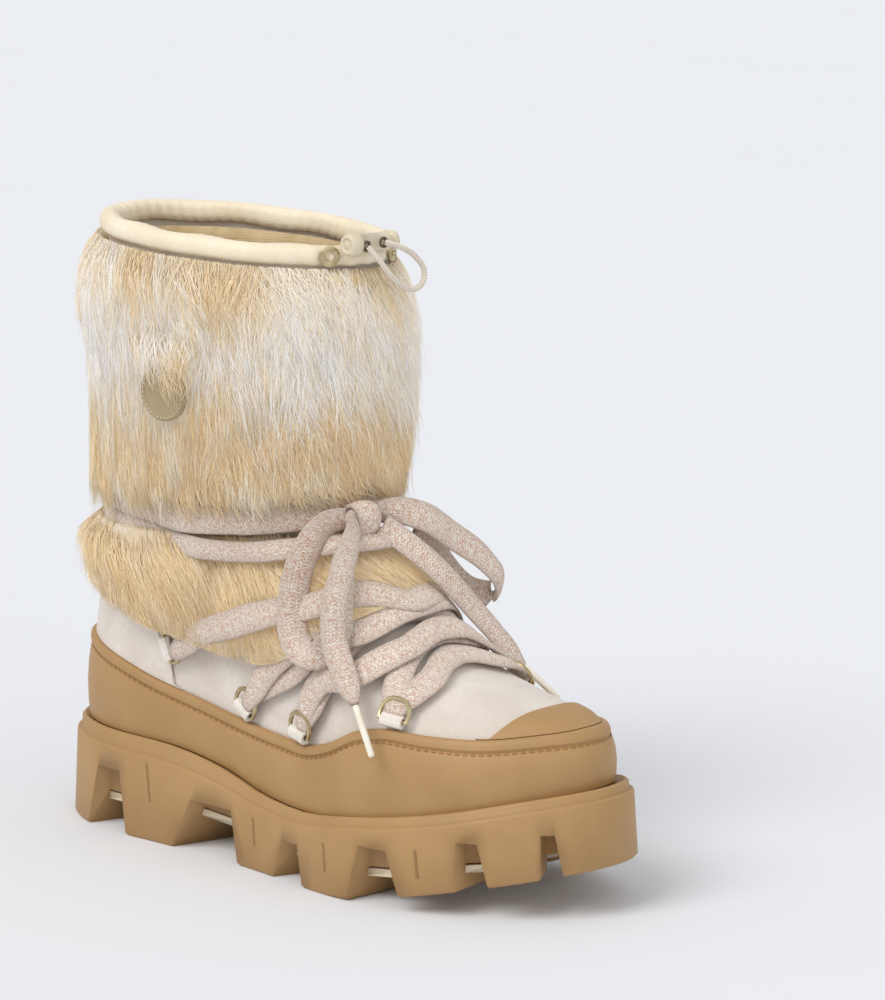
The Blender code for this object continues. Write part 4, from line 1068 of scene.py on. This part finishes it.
def wrap_band(name, height, grow, phase, width):
    """A lace round the ankle, snug at the back and lifted by the fur elsewhere."""
    turns = np.linspace(0, 1, 121)
    wave = turns * 2 * math.pi
    points = ring(height, 0.0, turns)
    outs = normals(points)
    outs[-1] = outs[0]
    lifted = soft_step(0.12, 0.23, np.abs((turns - SNUG_TURN + 0.5) % 1.0 - 0.5))
    lift_off = SNUG + (grow - SNUG) * lifted + 0.0005 * np.sin(wave * 3 + phase)
    points = points + outs * lift_off[:, None]
    points[:, 2] += 0.0008 * np.sin(wave * 2 + phase)
    points[-1] = points[0]
    widths = width * (1 + 0.06 * np.sin(wave * 4 + phase))
    return ribbon(name, points, outs, widths, LACE_THICKNESS * 1.2, closed=True)


wrap_level = level(WRAP[0] * SHAFT_TOP, WRAP[1], WRAP[2] * SHAFT_TOP)
upper_wrap = wrap_band("ankle_wrap_upper", wrap_level, 0.0086, 0.4, LACE_WIDTH * 1.10)
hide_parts("ankle_wrap")
wrap_level = level(0.1365, WRAP[1], 0.1262)
wrap_band("ankle_wrap_lower", wrap_level, 0.0100, 2.0, LACE_WIDTH * 0.92)

# The knot: a band wound round the laces that it holds.
KNOT_BAND = (0.0060, 0.0048)          # half its height and half its depth
KNOT_CORE = (0.0086, 0.0052, 0.0042)  # half its width, height and depth
UP = np.array((0.0, 0.0, 1.0))
knot_out = spot_on_axis(KNOT)
knot_across = np.cross(UP, knot_out)
turn = np.linspace(0, 2 * math.pi, 49)
rise, away = np.cos(turn)[:, None] * UP, np.sin(turn)[:, None] * knot_out
circle = rise * KNOT_BAND[0] + away * KNOT_BAND[1]
points = np.array(KNOT) + circle + knot_across * (0.0006 * np.sin(turn))[:, None]
widths = 0.0112 + 0.0010 * np.cos(turn)
knot_band = ribbon("lace_knot_band", points, rise + away, widths, 0.0030, closed=True)


def lump(u, v):
    """The laces inside the knot, as one rounded lump."""
    across = (v - 0.5) * 2
    size = np.sqrt(np.clip(1 - np.abs(across) ** 2.6, 0, 1))
    a = 2 * math.pi * u
    return (
        np.array(KNOT)
        + knot_across * (across * KNOT_CORE[0])[:, None]
        + UP * (np.cos(a) * size * KNOT_CORE[1])[:, None]
        + knot_out * (np.sin(a) * size * KNOT_CORE[2])[:, None]
    )


knot_core = surface("lace_knot_core", 20, 12, lump, knit, "knit", sizes=(0.03, 0.018))
for piece in (knot_band, knot_core):
    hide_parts("lace_knot")


def free_lace(name, node, rows, count, far_end):
    """A lace from the knot that hangs free, back to the knot or down to its aglet."""
    points = through(rows, count)
    outs = np.array([spot_on_axis(point) for point in points])
    at = np.linspace(0, 1, count)
    if far_end == "object":
        widths = LACE_WIDTH * (1.29 - 0.40 * np.abs(2 * at - 1) ** 5)
    else:
        widths = LACE_WIDTH * (1.12 - 0.74 * np.clip((at - 0.88) / 0.12, 0, 1) ** 1.5)
    piece = ribbon(name, points, outs, widths, LACE_THICKNESS * 1.05)
    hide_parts(node)
    return piece


free_lace("bow_loop_outer", "lace_loop_outer", LOOP_OUTER, 70, "object")
free_lace("bow_loop_inner", "lace_loop_inner", LOOP_INNER, 70, "object")
free_lace("lace_tail_outer", "lace_end_outer", END_OUTER, 60, "fitting")
free_lace("lace_tail_inner", "lace_end_inner", END_INNER, 60, "fitting")

# Drawcord: the loop that hangs from the lock.
points = through(CORD_LOOP, 90)
outs = np.tile((1.0, 0.0, 0.2), (90, 1))
cord_width = 2 * CORD_RADIUS
loop = ribbon(
    "drawcord_loop_cord", points, outs, cord_width, cord_width, cord_cover, "cord", plump=2.0,
)
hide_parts("drawcord_loop")
path = points + SHIFT
tuple(path[0])
[tuple(point) for point in path]


def turned(name, centre, axis, profile, finish, slot, count=40):
    """A turned shape from rows of (distance along the axis, radius)."""
    axis = np.asarray(axis, float) / np.linalg.norm(axis)
    side = np.cross(axis, (0.0, 0.0, 1.0))
    side /= np.linalg.norm(side)
    up = np.cross(side, axis)
    rows = np.asarray(profile, float)

    def shape(u, v):
        at = np.clip(np.rint(v * (len(rows) - 1)).astype(int), 0, len(rows) - 1)
        angle = 2 * math.pi * u
        rim_points = np.cos(angle)[:, None] * side + np.sin(angle)[:, None] * up
        return np.asarray(centre) + axis * rows[at, 0][:, None] + rim_points * rows[at, 1][:, None]

    return surface(name, count, len(rows) - 1, shape, finish, slot)


# The lock's barrel: places along its axis and shares of its radius, from the pressed
# end to the closed one.
half = LOCK_LENGTH / 2
barrel = (
    (half, 0.0), (half, 0.55), (half + 0.0002, 0.66), (half, 0.86), (half - 0.0003, 0.93),
    (half - 0.0010, 0.97), (half - 0.0026, 1.0), (half - 0.0028, 0.94), (half - 0.0029, 0.74),
    (half - 0.0036, 0.73), (half - 0.0038, 0.84), (half - 0.0041, 0.88), (half - 0.0060, 0.90),
    (-half + 0.0058, 0.88), (-half + 0.0056, 1.0), (-half + 0.0052, 1.05), (-half + 0.0022, 1.05),
    (-half + 0.0016, 1.0), (-half + 0.0006, 0.95), (-half, 0.80), (-half - 0.0001, 0.62),
    (-half + 0.0004, 0.58), (-half + 0.0004, 0.40), (-half + 0.0002, 0.36), (-half + 0.0002, 0.0),
)
barrel = [(place, share * LOCK_RADIUS) for place, share in barrel]
lock_body = turned("cord_lock_body", LOCK, (0.0, 1.0, 0.0), barrel, plastic, "cream_plastic")
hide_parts("cord_lock")
CORD_HOLE = (
    (0.0, 0.0023), (0.0005, 0.0023), (0.0007, 0.0020), (0.0004, 0.0014), (-0.0002, 0.0013),
    (-0.0002, 0.0),
)
# The cord's holes: dark cups where the cord enters the lock, painted shade for its bores.
for number, spot in enumerate((CORD_LOOP[0], CORD_LOOP[-1]), 1):
    axis = np.array([spot[0] - LOCK[0], 0.0, spot[2] - LOCK[2]])
    axis /= np.linalg.norm(axis)
    base = np.array([LOCK[0], spot[1], LOCK[2]]) + axis * (LOCK_RADIUS * 0.90)
    turned(f"cord_hole_{number}", base, axis, CORD_HOLE, bore_painted_shade, "cream_plastic", 24)


GATHERS = 61              # ripples round the collar, strong on its inner side
PLEATS = 44               # how closely the pleats by the lock follow each other
PLEAT_TURN = -0.035       # where they lie
HEAVES = 9                # slow waves round the collar's top


def collar_shape(u, v):
    """The rolled collar with soft ripples, tight gathers inside and pleats by the lock."""
    rows = np.array(COLLAR + COLLAR[:1])
    edge = collar_height()
    at = v * (len(rows) - 1)
    rise = np.interp(at, np.arange(len(rows)), rows[:, 0])
    grow = np.interp(at, np.arange(len(rows)), rows[:, 1])
    points = np.zeros((len(u), 3))
    for share in np.unique(np.round(v, 6)):
        here = np.abs(v - share) < 1e-5
        turns = u[here] % 1.0
        r, g = rise[here][0], grow[here][0]
        inner = 1.0 if g < -0.001 else 0.25
        wave = turns * 2 * math.pi
        near = np.exp(-(((turns + 0.5) % 1.0 - 0.5 - PLEAT_TURN) / 0.05) ** 2)
        ripple = np.sin(wave * GATHERS + 2 * np.sin(turns * 31))
        pleat = np.sin(wave * PLEATS)
        bump = 0.00035 * inner * ripple + 0.0007 * near * pleat
        base = ring(raised(edge, r), 0.0, turns)
        points[here] = base + normals(base) * (g + bump)[:, None]
        points[here, 2] += 0.0005 * np.sin(wave * HEAVES) * inner
    return points


collar_piece = surface("collar_roll", 240, 24, collar_shape, collar_leather, "cream_leather")
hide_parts("collar")


LINING_FOOT = 0.30        # its lower edge, as a share of SHAFT_TOP
LINING_RISE = (0.675, 0.645)   # its height at the rear and at the front, as shares too
LINING_FOLDS = 38
LINING_GAP = 0.0012       # from the leather's inner face


def lining_shape(u, v):
    """The cloth inside the leg, gathered into folds towards the collar."""
    points = np.zeros((len(u), 3))
    for share in np.unique(np.round(v, 6)):
        here = np.abs(v - share) < 1e-5
        turns = u[here] % 1.0
        rear, front = [(LINING_FOOT + rise * share) * SHAFT_TOP for rise in LINING_RISE]
        base = ring(level(rear, 0.55, front), 0.0, turns)
        fold = np.sin(turns * 2 * math.pi * LINING_FOLDS + 1.5 * np.sin(turns * 17))
        fold = fold * (0.1 + 0.9 * share**3)
        inward = WALL + LINING_GAP + 0.0007 * (1 + fold)
        points[here] = base - normals(base) * inward[:, None]
    return points


leg_lining = surface("leg_lining", 190, 30, lining_shape, lining, "lining")
wall = leg_lining.modifiers.new("wall", "SOLIDIFY")
wall.thickness = 0.0005
wall.offset = 0.0


def stitches(name, points, outs, alongs, length, radius, finish, slot):
    """A row of short stitches, each a small rounded bead of thread."""
    work = bmesh.new()
    for point, out, along in zip(points, outs, alongs):
        out, along = Vector(out).normalized(), Vector(along).normalized()
        across = along.cross(out).normalized()
        turned_to = Matrix((along, across, out)).transposed().to_4x4()
        size = Matrix.Diagonal((length / 2, radius, radius, 1.0))
        place = Matrix.Translation(Vector(point + SHIFT)) @ turned_to @ size
        bmesh.ops.create_uvsphere(work, u_segments=6, v_segments=5, radius=1.0, matrix=place)
    return finish_piece(name, work, finish, slot)


def evenly(points, pitch):
    """Points at a pitch along a closed line, with the direction there."""
    closed = np.vstack([points, points[:1]])
    run = np.concatenate([[0], np.cumsum(np.linalg.norm(np.diff(closed, axis=0), axis=1))])
    count = int(run[-1] / pitch)
    at = np.arange(count) * run[-1] / count
    spots = np.stack([np.interp(at, run, closed[:, k]) for k in range(3)], axis=1)
    next_at = (at + 0.001) % run[-1]
    ahead = np.stack([np.interp(next_at, run, closed[:, k]) for k in range(3)], axis=1)
    return spots, ahead - spots


# Stitches in the groove under the rand's bead.
STITCH_PITCH = 0.0033
row_height = raised(rand_top, -BEAD_HEIGHT - 0.0011)
line = ring(row_height, rand_out - 0.0002, np.arange(240) / 240)
spots, alongs = evenly(line, STITCH_PITCH)
stitches("rand_stitches", spots, normals(spots), alongs, 0.0025, 0.00034, thread, "honey_rubber")

# Badge: a ring of small stitches just inside its edge.
start = (BADGE[0] * SOLE_LENGTH, SHAFT_SIDE, BADGE[1] * SHAFT_TOP)
badge_point, badge_normal = meet(start, (0.0, BADGE[2], 0.0))
badge_side = np.cross(badge_normal, (0.0, 0.0, 1.0))
badge_side /= np.linalg.norm(badge_side)
badge_up = np.cross(badge_side, badge_normal)
BADGE_STITCHES = 34
angle = np.arange(BADGE_STITCHES) * 2 * math.pi / BADGE_STITCHES
rim_line = np.cos(angle)[:, None] * badge_side + np.sin(angle)[:, None] * badge_up
tangent = -np.sin(angle)[:, None] * badge_side + np.cos(angle)[:, None] * badge_up
centre = badge_point + badge_normal * (BADGE_OUT + 0.0023)
spots = centre + rim_line * BADGE_RADIUS * 0.87
outs = np.tile(badge_normal, (BADGE_STITCHES, 1))
stitches(
    "badge_stitches", spots, outs, tangent, 0.0015, 0.00026, pale_thread, "cream_leather",
)


class Sleeve:
    """A sleeve of fur round the leg: its roots, directions and depth, to be read anywhere.
    Shares run from its lower edge (0) to its top (1), and a little below it."""

    BELOW = 0.35
    ROWS = 45
    STEPS = 96

    def __init__(self, low, high, table, base):
        turns = np.arange(self.STEPS + 1) / self.STEPS
        rows, away, deep = [], [], []
        for share in np.linspace(-self.BELOW, 1.0, self.ROWS + 1):
            points = ring(between(low, high, share), 0.0, turns)
            rows.append(points)
            away.append(normals(points))
            deep.append(fur_depth(turns, max(share, 0.0), table))
        self.points, self.away, self.deep = np.array(rows), np.array(away), np.array(deep)
        self.base = base

    def read(self, grid, share, turn):
        """A grid's value between its rows and steps."""
        s = (share + self.BELOW) / (1 + self.BELOW) * self.ROWS
        s = np.clip(s, 0, self.ROWS - 0.001)
        t = (turn % 1.0) * self.STEPS
        i, j = s.astype(int), np.minimum(t.astype(int), self.STEPS - 1)
        a, b = s - i, t - j
        if grid.ndim == 3:
            a, b = a[..., None], b[..., None]
        one = grid[i, j] * (1 - b) + grid[i, j + 1] * b
        two = grid[i + 1, j] * (1 - b) + grid[i + 1, j + 1] * b
        return one * (1 - a) + two * a

    def spot(self, share, turn, lift_off):
        """A point at a share of the fur's depth, with the direction out."""
        point = self.read(self.points, share, turn)
        out = self.read(self.away, share, turn)
        height = self.base + self.read(self.deep, share, turn) * lift_off
        return point + out * height[..., None], out


GOLD = np.array(tone(238, 212, 164))
DEEP_GOLD = np.array(tone(220, 185, 128))
STRAW = np.array(tone(248, 230, 194))
CREAM = np.array(tone(250, 241, 224))
WHITE = np.array(tone(251, 250, 249))
# the painted shade at the hairs' roots
ROOT_SHADOW_TAUPE = np.array(tone(204, 184, 158))


def wander(turn, share, seed):
    """Slow waves round and up the sleeve, from -1 to 1."""
    a = 2 * math.pi * turn
    return (
        np.sin(3 * a + 2.1 * share * 5 + seed) * 0.4
        + np.sin(7 * a - 3.3 * share * 4 + 2.2 * seed) * 0.35
        + np.sin(13 * a + 5.1 * share * 3 + 3.7 * seed) * 0.25
    )


def shaft_colour(share, turn, lot, random):
    """Bands of colour down the shaft: gold, then white, then gold and straw."""
    edge = share + 0.10 * wander(turn, share, 1.0) + 0.13 * (lot - 0.5)
    white = soft_step(0.54, 0.75, edge) * (1 - soft_step(0.89, 1.02, edge))
    gold = np.where((random < 0.30)[:, None], STRAW, GOLD)
    gold = np.where((random > 0.86)[:, None], DEEP_GOLD, gold)
    gold = np.where((lot > 0.80)[:, None], CREAM, gold)
    pale = np.where((random < 0.16)[:, None], STRAW, WHITE)
    return gold * (1 - white[:, None]) + pale * white[:, None]


def ankle_colour(share, turn, lot, random):
    """Gold and straw with pale patches, some locks paler than others."""
    grey = soft_step(0.2, 0.7, wander(turn, share, 4.0)) * 0.55
    gold = np.where((random < 0.35)[:, None], STRAW, GOLD)
    gold = np.where((random > 0.85)[:, None], DEEP_GOLD, gold)
    pale = np.where((random < 0.4)[:, None], CREAM, WHITE)
    share_pale = grey * np.where(lot > 0.45, 1.0, 0.2)
    return gold * (1 - share_pale[:, None]) + pale * share_pale[:, None]


def spikes(name, centres, outs, thick):
    """A mesh of closed three-sided spikes through rows of centres, thin at their tips."""
    rings, count = centres.shape[:2]
    tangent = np.gradient(centres, axis=0)
    tangent /= np.linalg.norm(tangent, axis=2, keepdims=True) + 1e-12
    side = np.cross(tangent, outs)
    side /= np.linalg.norm(side, axis=2, keepdims=True) + 1e-12
    top = np.cross(side, tangent)
    taper = (1 - np.linspace(0, 1, rings)) ** 0.7
    verts = []
    for k in range(rings - 1):
        for corner in (90, 210, 330):
            c, s = math.cos(math.radians(corner)), math.sin(math.radians(corner))
            size = (thick * taper[k])[:, None]
            verts.append(centres[k] + side[k] * c * size * 1.25 + top[k] * s * size * 0.7)
    verts.append(centres[-1])
    verts = np.stack(verts, axis=1) + SHIFT
    each = verts.shape[1]
    base = np.arange(count)[:, None] * each
    corners = ((0, 1), (1, 2), (2, 0))
    quads = [
        base + np.array([3 * k + c, 3 * k + d, 3 * k + 3 + d, 3 * k + 3 + c])
        for k in range(rings - 2) for c, d in corners
    ]
    last_row = 3 * (rings - 2)
    tips = [base + np.array([last_row + c, last_row + d, each - 1]) for c, d in corners]
    tips.append(base + np.array([2, 1, 0]))
    faces = np.concatenate(quads).tolist() + np.concatenate(tips).tolist()
    mesh = bpy.data.meshes.new(name)
    mesh.from_pydata(verts.reshape(-1, 3).tolist(), [], faces)
    return mesh


HAIR_RINGS = 4
LOT_SPREAD = (0.030, 0.0140)      # how far a lock's hairs start apart: share, turn
SWEEP = 0.022                     # the hair leans this much of a turn towards the toe
TIP_DIP = 0.16                    # the tips fall back by this share of the depth
ROOT_PAINTED_SHADE = 0.30                 # painted shade: how much darker a hair is at its root, where the strands shade each other


def hair(
    name, sleeve, count, seed, shares, length, tall, colour, node, lots,
    lift_off=(0.34, 1.02), turns=(0.0, 1.0), past=0.09, wisp=0.075,
):
    """Many tapered strands in locks, as one mesh. Lifts are shares of the fur's depth."""
    random = np.random.default_rng(seed)
    lot_share = random.uniform(shares[0], shares[1], lots)
    lot_turn = random.uniform(turns[0], turns[1], lots)
    lot_rise = random.uniform(0.91, 1.08, lots)
    lot_tone = random.uniform(0, 1, lots)
    lot_long = random.uniform(0.75, 1.2, lots)
    lot_sweep = random.normal(0, 0.0115, lots)
    which = random.integers(0, lots, count)
    off_share = random.normal(0, LOT_SPREAD[0], count)
    off_turn = random.normal(0, LOT_SPREAD[1], count)
    reach_to = length * lot_long[which] * random.uniform(0.7, 1.25, count) / tall
    share = np.clip(lot_share[which] + off_share, shares[0] - 0.02, shares[1])
    reach_to = np.minimum(reach_to, share + past + random.exponential(0.035, count))
    turn = lot_turn[which] + off_turn
    rise = lot_rise[which] * random.uniform(0.92, 1.06, count)
    flare = random.exponential(wisp, count)
    sweep = SWEEP + 0.010 * wander(lot_turn[which], lot_share[which], 2.0) + lot_sweep[which]
    sweep = sweep + random.normal(0, 0.004, count)
    curl = random.normal(0, 0.0055, count)
    along = np.linspace(0, 1, HAIR_RINGS)
    centres, outs = [], []
    for k in along:
        gather = 1 - 0.78 * k**1.3
        s = share - off_share * (1 - gather) * 0.4 - reach_to * k
        t = turn - off_turn * (1 - gather) + sweep * k + curl * math.sin(3.0 * k)
        ease = 1 - (1 - k) ** 2.2
        lift_now = (lift_off[0] + (lift_off[1] - lift_off[0]) * ease) * rise
        lift_now = lift_now - TIP_DIP * max(k - 0.55, 0) / 0.45 + flare * k * k
        point, out = sleeve.spot(s, t, lift_now)
        centres.append(point)
        outs.append(out)
    thick = random.uniform(0.00012, 0.00026, count)
    mesh = spikes(name, np.array(centres), np.array(outs), thick)
    shade = colour(share, turn % 1.0, lot_tone[which], random.uniform(0, 1, count))
    shade = shade * random.uniform(0.92, 1.04, count)[:, None]
    # Painted shade: each hair is coloured darker and taupe towards its root, where the strands shade
    # each other.
    rooted = np.concatenate([np.repeat(along[:-1], 3), [1.0]])
    dark = (ROOT_PAINTED_SHADE * (1 - soft_step(0.0, 0.6, rooted)))[None, :, None]
    tints = np.clip(shade[:, None, :] * (1 - dark) + ROOT_SHADOW_TAUPE * dark, 0, 1)
    tints = np.concatenate([tints, np.ones((count, len(rooted), 1))], axis=2)
    layer = mesh.color_attributes.new("tint", "FLOAT_COLOR", "POINT")
    layer.data.foreach_set("color", tints.astype(np.float32).ravel())
    mesh.materials.append(fur_hair)
    mesh.shade_smooth()
    item = bpy.data.objects.new(name, mesh)
    bpy.context.scene.collection.objects.link(item)
    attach(item, "root")
    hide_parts(node)
    return item


def hide(name, sleeve, low_share, high_share, lift_off, node):
    """The skin under the hair: a closed sleeve with a wall."""

    def shape(u, v):
        share = low_share + (high_share - low_share) * (1 - np.abs(2 * v - 1))
        out = np.where(v < 0.5, 0.02, lift_off)
        edge = (share <= low_share + 1e-6) | (share >= high_share - 1e-6)
        return sleeve.spot(share, u, np.where(edge, lift_off / 2, out))[0]

    piece = surface(name, 96, 40, shape, fur_hide, "fur")
    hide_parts(node)
    return piece


shaft_low = level(SHAFT_FUR[0] * SHAFT_TOP, 0.55, SHAFT_FUR[1] * SHAFT_TOP)
shaft_high = level(SHAFT_FUR[2] * SHAFT_TOP, 0.55, SHAFT_FUR[3] * SHAFT_TOP)
shaft = Sleeve(shaft_low, shaft_high, SHAFT_DEPTH, FUR_ROOT)
ankle_high = level(ANKLE_TOP[0] * SHAFT_TOP, 0.55, ANKLE_TOP[1] * SHAFT_TOP)
ankle = Sleeve(fur_hem, ankle_high, ANKLE_DEPTH, ANKLE_ROOT)
hide("fur_hide_shaft", shaft, 0.02, 0.995, 0.45, "fur_shaft")
hide("fur_hide_ankle", ankle, 0.04, 0.98, 0.45, "fur_ankle")

HAIRS = 10400
SHAFT_TALL = 0.100        # height of the shaft's fur and of the ankle's, hem to top
ANKLE_TALL = 0.034
for name, seed, shares, length in (
    ("fur_hair_low", 11, (0.06, 0.52), 0.039),
    ("fur_hair_middle", 12, (0.30, 0.76), 0.044),
    ("fur_hair_upper", 13, (0.55, 0.98), 0.044),
):
    hair(name, shaft, HAIRS, seed, shares, length, SHAFT_TALL, shaft_colour, "fur_shaft", 300)
hair(
    "fur_hair_collar", shaft, 8200, 15, (0.80, 1.0), 0.030, SHAFT_TALL, shaft_colour,
    "fur_shaft", 260, lift_off=(0.30, 0.98),
)
hair(
    "fur_hair_ankle", ankle, HAIRS, 14, (0.02, 1.0), 0.031, ANKLE_TALL, ankle_colour,
    "fur_ankle", 380, lift_off=(0.34, 1.14), past=0.62, wisp=0.17,
)
hair(
    "fur_hair_badge", shaft, 460, 16, (0.57, 0.69), 0.015, SHAFT_TALL, shaft_colour,
    "fur_shaft", 30, lift_off=(0.95, 1.50), turns=(0.742, 0.800),
)

# Floor, lights and camera.
work = bmesh.new()
bmesh.ops.create_grid(work, x_segments=4, y_segments=4, size=30.0)
floor_mesh = bpy.data.meshes.new("floor")
work.to_mesh(floor_mesh)
work.free()
floor = bpy.data.objects.new("floor", floor_mesh)
bpy.context.scene.collection.objects.link(floor)
pale = Finish("pale floor", 0.9, Specular_IOR_Level=0.1)
paper = pale.mix(pale.noise(3, 2), tone(229, 231, 235), tone(231, 233, 237))
floor_mesh.materials.append(pale.dress(paper))
floor_mesh.shade_smooth()
floor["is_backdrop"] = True


def soft_light(name, turn, height, spread_angle, power, colour):
    """Even light from far away: turn round the boot and height over the floor, in degrees."""
    light = bpy.data.lights.new(name, "SUN")
    light.angle = math.radians(spread_angle)
    light.energy = power
    light.color = colour
    item = bpy.data.objects.new(name, light)
    turn, height = math.radians(turn), math.radians(height)
    flat = math.cos(height)
    way = Vector((math.cos(turn) * flat, math.sin(turn) * flat, math.sin(height)))
    item.rotation_euler = way.to_track_quat("Z", "Y").to_euler()
    bpy.context.scene.collection.objects.link(item)


soft_light("key", -98.0, 50.0, 36.0, 1.50, (1.0, 0.985, 0.955))
soft_light("fill", -15.0, 35.0, 60.0, 0.45, (1.0, 0.995, 0.98))
world = bpy.data.worlds.new("studio")
world.use_nodes = True
sky = world.node_tree.nodes["Background"]
sky.inputs["Color"].default_value = (0.965, 0.975, 1.0, 1.0)
sky.inputs["Strength"].default_value = 0.64
bpy.context.scene.world = world
bpy.context.scene.view_settings.view_transform = "Standard"

lens = bpy.data.cameras.new("camera")
lens.sensor_fit = "AUTO"
lens.sensor_width = 36.0
lens.lens = CAMERA_LENS
lens.clip_end = 50.0
eye = bpy.data.objects.new("camera", lens)
right = Vector((math.cos(CAMERA_TURN), math.sin(CAMERA_TURN), 0.0))
ahead = Vector((-math.sin(CAMERA_TURN), math.cos(CAMERA_TURN), 0.0)) * math.cos(CAMERA_TILT)
ahead.z = -math.sin(CAMERA_TILT)
above = right.cross(ahead)
turned_eye = Matrix((right, above, -ahead)).transposed().to_4x4()
eye.matrix_world = Matrix.Translation(CAMERA_SPOT) @ turned_eye
bpy.context.scene.collection.objects.link(eye)
bpy.context.scene.camera = eye

bpy.context.view_layer.update()
final_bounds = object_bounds()
[[list(map(float, corner)) for corner in box] for box in (cad_bounds, final_bounds)]
